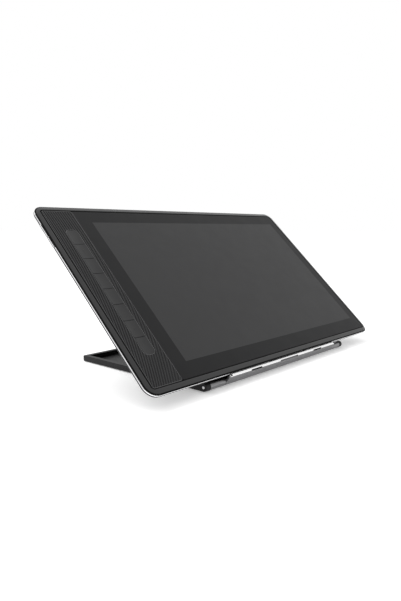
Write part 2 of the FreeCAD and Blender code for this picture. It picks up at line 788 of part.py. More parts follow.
def panel_ribbon():
    """The flat cable from the display's lower ledge round to the main board."""
    fold = f"{SCREEN_LOW} - module_ledge + ribbon_inset"
    across = spread("ribbon_wide / 2", "board_across")
    piece = Piece("panel_ribbon", in_face)
    along = (fold, f"{MIDDLE} - board_tall / 2 + ribbon_lap")
    piece.slab((across, along), (WIRES, f"{WIRES} + ribbon_thick"))
    piece.slab((across, (fold, f"{fold} + ribbon_thick")), (WIRES, PANEL))


def key_ribbon():
    """The flat cable from the key board to the main board."""
    along = spread("key_ribbon_wide / 2", MIDDLE)
    piece = Piece("key_ribbon", in_face)
    across = (KEY_MID, "board_across - board_wide / 2 + ribbon_lap")
    piece.slab((across, along), (WIRES, f"{WIRES} + ribbon_thick"))
    piece.slab(((KEY_MID, f"{KEY_MID} + ribbon_thick"), along), (WIRES, f"{RIM} - key_board_thick"))


def port_bezel():
    """The insert in the shell's side that frames the two sockets."""
    low = f"{BACK} + port_rise"
    across = (f"{RIGHT} - port_face - port_deep", f"{RIGHT} - port_face")
    piece = Piece("port_bezel", in_face)
    piece.slab((across, ("port_low", "port_low + port_long")), (low, f"{low} + port_high"))
    mouths = [(across, spread("socket_wide / 2", middle)) for middle in PORTS]
    piece.cut(*mouths, (SOCKET_LOW, f"{SOCKET_LOW} + socket_high"))


def usb_socket(label, middle):
    """A metal shell, open outwards, with a contact tongue."""
    outer = f"{RIGHT} - port_face"
    inner = f"{outer} - socket_deep"
    piece = Piece(label, in_face)
    piece.slab(((inner, outer), spread("socket_wide / 2", middle)),
               (SOCKET_LOW, f"{SOCKET_LOW} + socket_high"))
    piece.cut(((f"{inner} + socket_wall", outer), spread("socket_wide / 2 - socket_wall", middle)),
              (f"{SOCKET_LOW} + socket_wall", f"{SOCKET_LOW} + socket_high - socket_wall"))
    core = f"{SOCKET_LOW} + (socket_high - tongue_thick) / 2"
    piece.slab(((inner, f"{outer} - tongue_back"), spread("tongue_wide / 2", middle)),
               (core, f"{core} + tongue_thick"))


def port_board():
    """The board that the sockets are soldered to."""
    high_x = f"{RIGHT} - port_face - port_deep - fit_gap"
    sheet = ((f"{high_x} - port_board_deep", high_x), ("port_low", "port_low + port_long"))
    Piece("port_board", in_face).slab(sheet, (f"{SOCKET_LOW} - board_thick", SOCKET_LOW))


# The stand

def base_tray():
    """A shallow tray: two side rails that end in the hinge's ears, a rear rail and a thin floor."""
    piece = Piece("base_tray", on_table)
    across = spread(BASE_HALF)
    left_rail = ((across[0], f"{across[0]} + rail_wide"), ("0", "base_reach"))
    right_rail = ((f"{across[1]} - rail_wide", across[1]), ("0", "base_reach"))
    piece.slab((across, (TRAY_START, "base_reach")), ("base_low", TRAY_FLOOR))
    piece.slab(left_rail, right_rail, ("base_low", "rail_high"))
    piece.slab((across, ("base_reach - rail_wide", "base_reach")), ("base_low", "rail_high"))
    piece.bevel("rail_bevel", lambda shape, edge: on_top(shape, edge) and edge.BoundBox.YMax > TOUCH)
    for rail, _ in (left_rail, right_rail):
        piece.axle(("0", "pivot_high"), "ear_radius", rail)
    piece.drill(("0", "pivot_high"), "pin_radius", across)
    feet = [(spread(f"{BASE_HALF} - base_foot_side"), along) for along in FOOT_RUNS]
    piece.cut(*feet, ("base_low", "base_low + base_foot_sunk"))


def base_feet():
    """The two rubber strips under the base."""
    feet = [(spread(f"{BASE_HALF} - base_foot_side"), along) for along in FOOT_RUNS]
    Piece("base_feet", on_table).slab(*feet, ("0", "base_low + base_foot_sunk"))


def detent_rack():
    """The ribbed strip that the strut's foot drops between."""
    piece = Piece("detent_rack", on_table)
    reach = [f"{FOOT_REST} + ({place}) * rack_pitch" for place in (RACK_RIBS[0] - 1, RACK_RIBS[-1] + 0.5)]
    across = spread("rack_wide / 2")
    piece.slab((across, reach), (TRAY_FLOOR, f"{TRAY_FLOOR} + rack_sheet"))
    ribs = [(across, spread("rack_rib_wide / 2", f"{FOOT_REST} + ({place} - 0.5) * rack_pitch"))
            for place in RACK_RIBS]
    piece.slab(*ribs, (TRAY_FLOOR, f"{TRAY_FLOOR} + rack_rib"))


def hinge_pin():
    """The long pin through the ears, the sleeves and the rest bar."""
    piece = Piece("hinge_pin", on_table)
    piece.axle(("0", "pivot_high"), "pin_radius", spread(f"{BASE_HALF} + pin_proud"))
    piece.bevel("pin_proud", lambda shape, edge: edge.Curve.TypeId == "Part::GeomCircle")


def hinge_ring(label, side, near, far, radius):
    """A ring on the hinge pin, between two distances from the stand's middle, on one side of it."""
    places = [f"stand_shift + {side} * ({near})", f"stand_shift + {side} * ({far})"]
    across = places if side > 0 else places[::-1]
    Piece(label, on_table).axle(("0", "pivot_high"), radius, across, "pin_radius")


def rest_bar():
    """The hinge tube's middle, with the lip that the tablet stands on and a tongue under the plate."""
    piece = Piece("rest_bar", in_face)
    across = spread(REST_HALF)
    piece.slab((across, ("-rest_out", "rest_in")), ("0", "rest_top"))
    piece.round("rest_round", lambda shape, edge: on_top(shape, edge) and edge.BoundBox.XLength < TOUCH)
    piece.bevel("rest_bevel", front_top)
    piece.axle(("0", "0"), "tube_radius", across)
    piece.slab((spread(f"{REST_HALF} - tongue_side"), ("tongue_start", "tongue_reach")),
               ("plate_low - tongue_deep", "plate_low"))
    piece.drill(("0", "0"), "pin_radius + run_gap", across)
    slots = [(spread("slot_long / 2", f"stand_shift + {side} * slot_across"),
              ("-rest_out", "slot_sunk - rest_out")) for side in (-1, 1)]
    slots.append((spread("mid_slot_long / 2"), ("-rest_out", "slot_sunk - rest_out")))
    piece.cut(*slots, ("rest_top - slot_deep", "rest_top"))
    piece.cut(*GRIPS, ("rest_top - grip_below - grip_high", "rest_top - grip_below"))
    piece.bore(PLUGS, "plug_radius", "rest_top - plug_deep", "rest_top")
    tongue_low = "plate_low - tongue_deep"
    piece.bore(BOLTS, "bolt_head_radius", tongue_low, f"{tongue_low} + bolt_head_thick")
    piece.bore(BOLTS, "bolt_radius", tongue_low, "plate_low")


def rest_pads():
    """The soft strips let into the lip's inner face."""
    pads = [(across, ("rest_in - grip_sunk", "rest_in + grip_proud")) for across, _ in GRIPS]
    Piece("rest_pads", in_face).slab(*pads, ("rest_top - grip_below - grip_high", "rest_top - grip_below"))


def rest_plugs():
    """The caps in the two ends of the lip's top edge."""
    Piece("rest_plugs", in_face).rods(PLUGS, "plug_radius", "rest_top - plug_deep", "rest_top")


def support_plate():
    """The plate behind the tablet, with the two lugs that carry the strut."""
    piece = Piece("support_plate", in_face)
    piece.slab((spread(PLATE_HALF), (PLATE_START, PLATE_END)), ("plate_low", PLATE_TOP))
    piece.round("plate_round", at_corner)
    inner, outer = "(strut_wide / 2 + joint_gap)", "(strut_wide / 2 + joint_gap + lug_thick)"
    along = spread("lug_side", STRUT_ARM)
    lugs = [((f"stand_shift - {outer}", f"stand_shift - {inner}"), along),
            ((f"stand_shift + {inner}", f"stand_shift + {outer}"), along)]
    piece.slab(*lugs, ("-strut_hang - knuckle_radius", "plate_low"))
    piece.drill((STRUT_ARM, "-strut_hang"), "strut_pin_radius", spread(outer))
    piece.bore(BOLTS, "bolt_radius", "plate_low", "plate_low + bolt_bite")


def support_pads():
    """The cushions that the tablet's back lies against."""
    places = [(spread("cushion_long / 2", f"stand_shift + {side} * ({PLATE_HALF} - cushion_long)"), along)
              for side in (-1, 1)
              for along in (spread("cushion_wide / 2", f"{PLATE_START} + cushion_inset"),
                            spread("cushion_wide / 2", f"{PLATE_END} - cushion_inset"))]
    Piece("support_pads", in_face).slab(*places, (PLATE_TOP, f"{PLATE_TOP} + cushion_thick"))


def support_screws():
    """The screws that hold the plate to the rest bar's tongue."""
    piece = Piece("support_screws", in_face)
    low = "plate_low - tongue_deep"
    piece.rods(BOLTS, "bolt_head_radius", low, f"{low} + bolt_head_thick")
    piece.rods(BOLTS, "bolt_radius", low, "plate_low + bolt_bite")


def strut_panel():
    """The flap that props the plate up, hung on its pin by a rolled edge."""
    piece = Piece("strut_panel", on_strut)
    across = spread("strut_wide / 2")
    along = ("0", f"{STRUT_LONG} - foot_radius + foot_grip")
    piece.slab((across, along), ("-strut_thick / 2", "strut_thick / 2"))
    piece.axle(("0", "0"), "knuckle_radius", across)
    piece.drill(("0", "0"), "strut_pin_radius + run_gap", across)


def strut_foot():
    """The rubber edging that grips the end of the strut."""
    piece = Piece("strut_foot", on_strut)
    across = spread("strut_wide / 2")
    piece.axle((STRUT_LONG, "0"), "foot_radius", across)
    piece.cut((across, (f"{STRUT_LONG} - foot_radius", f"{STRUT_LONG} - foot_radius + foot_grip")),
              ("-strut_thick / 2", "strut_thick / 2"))


def strut_pin():
    """The pin that the strut swings on."""
    outer = "strut_wide / 2 + joint_gap + lug_thick"
    Piece("strut_pin", in_face).axle((STRUT_ARM, "-strut_hang"), "strut_pin_radius", spread(outer))


def build():
    """Makes every sub-part in the document."""
    front_bezel()
    trim_frame()
    rear_shell()
    mid_frame()
    rear_screws()
    rear_feet()
    cover_glass()
    glass_gasket()
    display_panel()
    stack_layer("backlight", LIGHT, "light_thick")
    stack_layer("pen_sensor_board", SENSOR, "sensor_thick")
    stack_layer("shield_plate", SHIELD, "shield_thick")
    key_plate()
    for index in reversed(range(KEYS)):
        key(index)
    key_board()
    key_domes()
    side_key("power_key", POWER_LOW, "power_long")
    side_key("brightness_rocker", ROCKER_LOW, "rocker_long")
    side_switches()
    side_board()
    main_board()
    board_chips()
    panel_ribbon()
    key_ribbon()
    port_bezel()
    for label, middle in zip(("usb_socket_lower", "usb_socket_upper"), PORTS):
        usb_socket(label, middle)
    port_board()
    base_tray()
    base_feet()
    detent_rack()
    hinge_pin()
    for name, side in (("left", -1), ("right", 1)):
        hinge_ring(f"{name}_sleeve", side, SLEEVE_IN, SLEEVE_OUT, "tube_radius")
        hinge_ring(f"{name}_washer", side, WASHER_IN, f"{BASE_HALF} - rail_wide", "washer_radius")
    rest_bar()
    rest_pads()
    rest_plugs()
    support_plate()
    support_pads()
    support_screws()
    strut_panel()
    strut_foot()
    strut_pin()
    DOC.recompute()


def check():
    """Stops if any object failed, a cut removed nothing, or a sub-part's shape isn't sound."""
    for thing in DOC.Objects:
        if {"Invalid", "Error"} & set(thing.State):
            raise RuntimeError(f"{thing.Label}: {thing.State}")
    for piece in Piece.made:
        for pocket in piece.pockets:
            if pocket.Shape.Volume > pocket.BaseFeature.Shape.Volume - TOUCH:
                raise RuntimeError(f"{pocket.Label} cuts nothing")
        shape = piece.body.Shape
        if shape.isNull() or not shape.isValid() or not shape.Solids:
            raise RuntimeError(f"{piece.body.Label}: no sound shape")


def export():
    """Writes each sub-part to its own file."""
    os.makedirs("parts", exist_ok=True)
    for piece in Piece.made:
        piece.body.Shape.exportStep(f"parts/{piece.body.Label}.step")
        print(piece.body.Label, len(piece.body.Shape.Solids), "solid(s)")


fill_sheet()
build()
check()
export()
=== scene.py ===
"""Pen drawing tablet on its folding stand: the looks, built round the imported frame.

Every shape is drawn in millimetres in one of three local frames, which are worked out from the packed
joints: the tablet's face, the table under the hinge, and the strut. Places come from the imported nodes.
"""
import json
import logging
import math
from dataclasses import dataclass
from enum import Enum
from typing import Callable, ClassVar, Iterable, NamedTuple, Sequence

import bmesh
import bpy
from mathutils import Matrix, Vector


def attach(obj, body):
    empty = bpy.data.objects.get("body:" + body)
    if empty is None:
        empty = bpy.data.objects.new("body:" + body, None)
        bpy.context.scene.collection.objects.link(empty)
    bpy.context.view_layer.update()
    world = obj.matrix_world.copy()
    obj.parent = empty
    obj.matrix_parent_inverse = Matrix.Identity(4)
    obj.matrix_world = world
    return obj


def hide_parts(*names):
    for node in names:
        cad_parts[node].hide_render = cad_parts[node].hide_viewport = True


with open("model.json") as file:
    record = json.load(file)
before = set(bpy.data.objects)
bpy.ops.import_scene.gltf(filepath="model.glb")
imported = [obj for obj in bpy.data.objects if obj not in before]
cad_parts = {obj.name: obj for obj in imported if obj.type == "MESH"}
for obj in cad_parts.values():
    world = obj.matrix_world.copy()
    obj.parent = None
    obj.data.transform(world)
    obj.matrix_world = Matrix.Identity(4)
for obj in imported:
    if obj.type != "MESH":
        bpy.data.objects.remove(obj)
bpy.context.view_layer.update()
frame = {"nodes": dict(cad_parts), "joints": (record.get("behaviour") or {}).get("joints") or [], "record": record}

LOG = logging.getLogger("pen_tablet")

MM = 0.001  # a millimetre, in metres
TOUCH = 0.001  # places nearer to each other than this, in millimetres, are one
OVERSHOOT = 1.0  # how far a cutting shape reaches past what it cuts
FACING = 0.99  # the part of a normal along an axis from which the face looks that way
KEY_COUNT = 8

Colour = tuple[float, float, float]
Point = tuple[float, float, float]


class Box(NamedTuple):
    """The room that a piece takes in a local frame, in millimetres.

    Attributes:
        low: its lowest corner.
        high: its highest corner.
    """

    low: Vector
    high: Vector

    @property
    def middle(self) -> Vector:
        """The point halfway between the corners."""
        return (self.low + self.high) / 2

    @property
    def size(self) -> Vector:
        """The box's length along each axis."""
        return self.high - self.low

    def shrunk(self, x: float = 0.0, y: float = 0.0, z: float = 0.0) -> "Box":
        """The box with both ends of each axis moved in; a negative value moves them out."""
        step = Vector((x, y, z))
        return Box(self.low + step, self.high - step)

    def holds(self, point: Vector) -> bool:
        """Whether a point lies inside the box."""
        return all(low < place < high for low, place, high in zip(self.low, point, self.high))


class LocalFrame:
    """A frame turned about X, in which a sub-assembly is drawn."""

    def __init__(self, origin: Sequence[float], angle: float) -> None:
        """Keeps the frame's place.

        Args:
            origin: the frame's origin in the row frame, in metres.
            angle: its turn about X, in radians.
        """
        turned = Matrix.Translation(origin) @ Matrix.Rotation(angle, 4, "X")
        self.matrix = turned @ Matrix.Scale(MM, 4)
        self.inverse = self.matrix.inverted()

    def box(self, node: str) -> Box:
        """The local box of one CAD node.

        Args:
            node: the node's name.

        Returns:
            Its lowest and highest corner in this frame.
        """
        return self.boxed(vertex.co for vertex in frame["nodes"][node].data.vertices)

    def boxed(self, points: Iterable[Vector]) -> Box:
        """The local box round some points.

        Args:
            points: the points, in the row frame.

        Returns:
            Their lowest and highest corner in this frame.
        """
        local = [self.inverse @ point for point in points]
        low = Vector(min(point[axis] for point in local) for axis in range(3))
        high = Vector(max(point[axis] for point in local) for axis in range(3))
        return Box(low, high)

    def solids(self, node: str) -> list[Box]:
        """The local boxes of a CAD node's separate solids, in the order of x and then y.

        Args:
            node: the node's name.

        Returns:
            One box for each connected solid.
        """
        mesh = bmesh.new()
        mesh.from_mesh(frame["nodes"][node].data)
        bmesh.ops.remove_doubles(mesh, verts=mesh.verts, dist=TOUCH * MM)
        waiting, boxes = set(mesh.verts), []
        while waiting:
            front = [waiting.pop()]
            group = list(front)
            while front:
                for edge in front.pop().link_edges:
                    for vertex in edge.verts:
                        if vertex in waiting:
                            waiting.remove(vertex)
                            front.append(vertex)
                            group.append(vertex)
            boxes.append(self.boxed([vertex.co for vertex in group]))
        mesh.free()
        return sorted(boxes, key=lambda box: (round(box.middle.x, 1), round(box.middle.y, 1)))


def joint(name: str) -> dict:
    """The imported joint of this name."""
    return next(item for item in frame["joints"] if item["name"] == name)


NORMAL = Vector(joint("tablet_lift")["axis"])
TILT = math.atan2(-NORMAL.y, NORMAL.z)
HINGE = Vector(joint("support_hinge")["pos_m"])
FACE = LocalFrame((0.0, HINGE.y, HINGE.z), TILT)
TABLE = LocalFrame((0.0, HINGE.y, 0.0), 0.0)
STRUT = LocalFrame((0.0, *joint("strut_hinge")["pos_m"][1:]), -TILT)


# Finishes


class Grain(Enum):
    """What breaks up the fine surface of a finish."""

    MOULDED = "moulded"
    BLASTED = "blasted"
    POWDERED = "powdered"
    BRUSHED = "brushed"
    ETCHED = "etched"
    SOFT = "soft"
    PRINTED = "printed"


@dataclass(frozen=True)
class Texture:
    """The measures of one grain.

    Attributes:
        pitch: size of the grain, in metres.
        depth: height of its bumps, in metres.
        stretch: how much longer the grain is along x.
        spread: how far the roughness drifts to either side.
        detail: octaves of the noise.
    """

    pitch: float
    depth: float
    stretch: float = 1.0
    spread: float = 0.06
    detail: float = 3.0


TEXTURES = {
    Grain.MOULDED: Texture(pitch=0.00022, depth=0.000012, detail=2.0),
    Grain.BLASTED: Texture(pitch=0.00016, depth=0.000006, spread=0.02),
    Grain.POWDERED: Texture(pitch=0.00045, depth=0.00002, spread=0.03),
    Grain.BRUSHED: Texture(pitch=0.00012, depth=0.000004, stretch=60.0, spread=0.09, detail=4.0),
    Grain.ETCHED: Texture(pitch=0.00008, depth=0.000002, spread=0.02, detail=1.0),
    Grain.SOFT: Texture(pitch=0.0004, depth=0.000015, spread=0.05),
    Grain.PRINTED: Texture(pitch=0.0018, depth=0.00003, spread=0.08),
}
DRIFT = Texture(pitch=0.045, depth=0.0, detail=2.0)
SMUDGE = Texture(pitch=0.018, depth=0.0, detail=4.0)
GRAIN_SHADE = 0.8  # how light the tops of the grain are beside its hollows
GRAIN_SHARE = 0.35  # how much of that shade shows at most


@dataclass(frozen=True)
class Finish:
    """One surface finish, made into a material once.

    Attributes:
        slot: the record's material slot, which also names the material.
        colour: base colour, linear.
        grain: the fine surface.
        roughness: its middle value.
        metallic: 1 for bare metal.
        specular: the share of the usual dielectric gloss.
        drift: how far the colour drifts over the piece, as a share.
        coat: a clear layer's weight.
        accent: a second colour, for printed tracks.
    """

    slot: str
    colour: Colour
    grain: Grain
    roughness: float
    metallic: float = 0.0
    specular: float = 0.5
    drift: float = 0.1
    coat: float = 0.0
    accent: Colour = (0.0, 0.0, 0.0)

    def shade(self, share: float) -> Colour:
        """The colour made darker or lighter by a factor."""
        return tuple(part * share for part in self.colour)

    def material(self) -> bpy.types.Material:
        """The finish's material, made on first use.

        Returns:
            The material, on the piece's object coordinates.
        """
        name = f"{self.slot}_finish"
        if name in bpy.data.materials:
            return bpy.data.materials[name]
        made = bpy.data.materials.new(name)
        made.use_nodes = True
        tree = NodeTree(made.node_tree)
        shader = tree.shader
        texture = TEXTURES[self.grain]
        where = tree.coordinates(texture.stretch)
        fine = tree.noise(where, texture)
        base = tree.blend(tree.noise(tree.coordinates(1.0), DRIFT), self.shade(1.0 - self.drift),
                          self.shade(1.0 + self.drift))
        base = tree.blend(tree.ranged(fine, 0.0, GRAIN_SHARE), base, self.shade(GRAIN_SHADE))
        if self.grain is Grain.PRINTED:
            base = tree.blend(tree.tracks(where, texture.pitch), base, self.accent)
        tree.link(base, shader.inputs["Base Color"])
        smudge = tree.noise(tree.coordinates(1.0), SMUDGE)
        rough = tree.ranged(smudge, self.roughness - texture.spread, self.roughness + texture.spread)
        tree.link(rough, shader.inputs["Roughness"])
        tree.link(tree.bump(fine, texture.depth), shader.inputs["Normal"])
        shader.inputs["Metallic"].default_value = self.metallic
        shader.inputs["Specular IOR Level"].default_value = self.specular
        shader.inputs["Coat Weight"].default_value = self.coat
        made.diffuse_color = (*self.colour, 1.0)
        return made


class NodeTree:
    """A material's nodes, added by short calls.

    Attributes:
        noise_low: where the middle part of a noise starts.
        noise_high: where it ends.
        bump_strength: how strongly a height turns the normal.
        track_gap: the gap between tracks, as a share of their pitch.
        mix_first: the Mix node's input for the first colour.
        mix_second: its input for the second colour.
        mix_result: its output for the blended colour.
    """

    noise_low = 0.3
    noise_high = 0.7
    bump_strength = 0.6
    track_gap = 0.05
    mix_first = 6
    mix_second = 7
    mix_result = 2

    def __init__(self, tree: bpy.types.NodeTree) -> None:
        """Takes over a new material's tree, which holds one Principled shader."""
        self.tree = tree
        self.shader = next(node for node in tree.nodes if node.type == "BSDF_PRINCIPLED")

    def add(self, kind: str, **values: object) -> bpy.types.Node:
        """Adds a node and sets its properties."""
        node = self.tree.nodes.new(kind)
        for name, value in values.items():
            setattr(node, name, value)
        return node

    def link(self, output: bpy.types.NodeSocket, socket: bpy.types.NodeSocket) -> None:
        """Joins two sockets."""
        self.tree.links.new(output, socket)

    def coordinates(self, stretch: float) -> bpy.types.NodeSocket:
        """Object coordinates turned into the tablet's face, drawn out along x.

        Args:
            stretch: how much longer a pattern comes out along x.

        Returns:
            The coordinates, in metres.
        """
        source = self.add("ShaderNodeTexCoord").outputs["Object"]
        mapping = self.add("ShaderNodeMapping", vector_type="POINT")
        mapping.inputs["Rotation"].default_value = (-TILT, 0.0, 0.0)
        mapping.inputs["Scale"].default_value = (1.0 / stretch, 1.0, 1.0)
        self.link(source, mapping.inputs["Vector"])
        return mapping.outputs["Vector"]

    def noise(self, where: bpy.types.NodeSocket, texture: Texture) -> bpy.types.NodeSocket:
        """A noise with a texture's pitch and detail."""
        node = self.add("ShaderNodeTexNoise")
        node.inputs["Scale"].default_value = 1.0 / texture.pitch
        node.inputs["Detail"].default_value = texture.detail
        self.link(where, node.inputs["Vector"])
        return node.outputs["Fac"]

    def blend(self, share: bpy.types.NodeSocket,
              *colours: Colour | bpy.types.NodeSocket) -> bpy.types.NodeSocket:
        """A blend of two colours.

        Args:
            share: the pattern, 0 where the first colour shows and 1 where the second does.
            *colours: the two, each a colour or the socket that gives it.

        Returns:
            The blended colour.
        """
        node = self.add("ShaderNodeMix", data_type="RGBA")
        self.link(share, node.inputs["Factor"])
        for index, colour in zip((self.mix_first, self.mix_second), colours):
            if isinstance(colour, tuple):
                node.inputs[index].default_value = (*colour, 1.0)
            else:
                self.link(colour, node.inputs[index])
        return node.outputs[self.mix_result]

    def ranged(self, value: bpy.types.NodeSocket, low: float, high: float) -> bpy.types.NodeSocket:
        """Maps the middle part of a noise to a range."""
        node = self.add("ShaderNodeMapRange")
        node.inputs["From Min"].default_value = self.noise_low
        node.inputs["From Max"].default_value = self.noise_high
        node.inputs["To Min"].default_value = low
        node.inputs["To Max"].default_value = high
        self.link(value, node.inputs["Value"])
        return node.outputs["Result"]

    def bump(self, height: bpy.types.NodeSocket, depth: float) -> bpy.types.NodeSocket:
        """A bumped normal."""
        node = self.add("ShaderNodeBump")
        node.inputs["Strength"].default_value = self.bump_strength
        node.inputs["Distance"].default_value = depth
        self.link(height, node.inputs["Height"])
        return node.outputs["Normal"]

    def tracks(self, where: bpy.types.NodeSocket, pitch: float) -> bpy.types.NodeSocket:
        """The pattern of tracks and pads under a solder mask."""
        cells = self.add("ShaderNodeTexBrick")
        cells.inputs["Scale"].default_value = 1.0 / pitch
        cells.inputs["Mortar Size"].default_value = self.track_gap
        self.link(where, cells.inputs["Vector"])
        return cells.outputs["Fac"]


BEZEL = Finish("bezel_plastic", (0.008, 0.008, 0.0085), Grain.MOULDED, 0.3, specular=0.5)
TRIM = Finish("bright_trim", (0.85, 0.85, 0.86), Grain.BRUSHED, 0.2, metallic=1.0, drift=0.04)
# the band's side: a dark metal painted as painted shade
SHADED_BAND_SIDE = Finish("painted_shade_band_side", (0.035, 0.035, 0.036), Grain.BRUSHED, 0.3, metallic=1.0, drift=0.05)
# a bright metal painted on the lip's top as a painted highlight
LIP_HIGHLIGHT = Finish("painted_highlight_edge", (0.92, 0.92, 0.92), Grain.BRUSHED, 0.25, metallic=1.0, drift=0.02)
SHELL = Finish("dark_shell", (0.024, 0.024, 0.026), Grain.BLASTED, 0.45, metallic=0.35, drift=0.05)
INNER = Finish("inner_plastic", (0.008, 0.008, 0.009), Grain.MOULDED, 0.6, specular=0.3)
SCREW = Finish("black_steel", (0.03, 0.03, 0.032), Grain.BRUSHED, 0.35, metallic=0.8)
RUBBER = Finish("rubber", (0.012, 0.012, 0.013), Grain.SOFT, 0.75, specular=0.3)
GLASS_BORDER = Finish("etched_glass", (0.006, 0.006, 0.0065), Grain.ETCHED, 0.5, specular=0.18, drift=0.05)
GLASS_SCREEN = Finish("etched_glass_over_display", (0.029, 0.029, 0.0295), Grain.ETCHED, 0.5, specular=0.18,
                      drift=0.03)
FOAM = Finish("foam", (0.015, 0.015, 0.016), Grain.SOFT, 0.9, specular=0.2)
PANEL = Finish("panel_glass", (0.02, 0.02, 0.022), Grain.ETCHED, 0.2, specular=0.5)
LIGHT_GUIDE = Finish("light_guide", (0.72, 0.73, 0.74), Grain.ETCHED, 0.3, drift=0.03)
BOARD = Finish("circuit_board", (0.008, 0.075, 0.035), Grain.PRINTED, 0.42, accent=(0.03, 0.16, 0.07))
SHIELD = Finish("shield_metal", (0.6, 0.6, 0.6), Grain.BRUSHED, 0.35, metallic=1.0, drift=0.05)
PLATE = Finish("textured_plate", (0.03, 0.03, 0.031), Grain.MOULDED, 0.5, specular=0.3)
PLATE_EDGE = Finish("plate_edge", (0.055, 0.055, 0.056), Grain.MOULDED, 0.4, specular=0.5)
# near-black painted into gaps, grooves, slots and shaded sides as painted shade
SHADE_BLACK = Finish("painted_shade_black", (0.002, 0.002, 0.002), Grain.MOULDED, 0.8, specular=0.1)
KEY = Finish("key_plastic", (0.012, 0.012, 0.0125), Grain.MOULDED, 0.42, specular=0.35)
SIDE_KEY = Finish("side_key_metal", (0.66, 0.66, 0.67), Grain.BRUSHED, 0.28, metallic=1.0)
SWITCH = Finish("switch_plastic", (0.012, 0.012, 0.012), Grain.MOULDED, 0.5)
FILM = Finish("ribbon_film", (0.34, 0.15, 0.03), Grain.ETCHED, 0.25, coat=0.3)
SOCKET = Finish("socket_metal", (0.55, 0.55, 0.56), Grain.BRUSHED, 0.28, metallic=1.0, drift=0.05)
STAND = Finish("stand_black", (0.009, 0.009, 0.0095), Grain.POWDERED, 0.5, specular=0.2)
NYLON = Finish("nylon", (0.01, 0.01, 0.0105), Grain.MOULDED, 0.5, specular=0.35)
STEEL = Finish("pin_steel", (0.75, 0.75, 0.76), Grain.BRUSHED, 0.22, metallic=1.0, drift=0.04)
HINGE_METAL = Finish("hinge_aluminium", (0.215, 0.215, 0.22), Grain.BLASTED, 0.34, metallic=1.0, drift=0.05)
FINISHES = (BEZEL, TRIM, SHELL, INNER, SCREW, RUBBER, GLASS_BORDER, FOAM, PANEL, LIGHT_GUIDE, BOARD, SHIELD,
            PLATE, KEY, SIDE_KEY, SWITCH, FILM, SOCKET, STAND, NYLON, STEEL, HINGE_METAL)
BY_SLOT = {finish.slot: finish for finish in FINISHES}


# Shapes


class Axis(Enum):
    """The local axis that a round shape runs along."""

    X = Matrix.Rotation(math.pi / 2, 4, "Y")
    Y = Matrix.Rotation(-math.pi / 2, 4, "X")
    Z = Matrix.Identity(4)


class Ring(NamedTuple):
    """A rounded outline at one level, in millimetres.

    Attributes:
        inset: how far in from the outline it lies.
        level: its z.
        radius: its corners' radius.
    """

    inset: float
    level: float
    radius: float


def lowest(edge: bmesh.types.BMEdge) -> float:
    """The z of an edge's lower end."""
    return min(vertex.co.z for vertex in edge.verts)


def highest(edge: bmesh.types.BMEdge) -> float:
    """The z of an edge's upper end."""
    return max(vertex.co.z for vertex in edge.verts)


def upright(edge: bmesh.types.BMEdge) -> bool:
    """Whether an edge's ends lie at different levels."""
    return highest(edge) - lowest(edge) > TOUCH


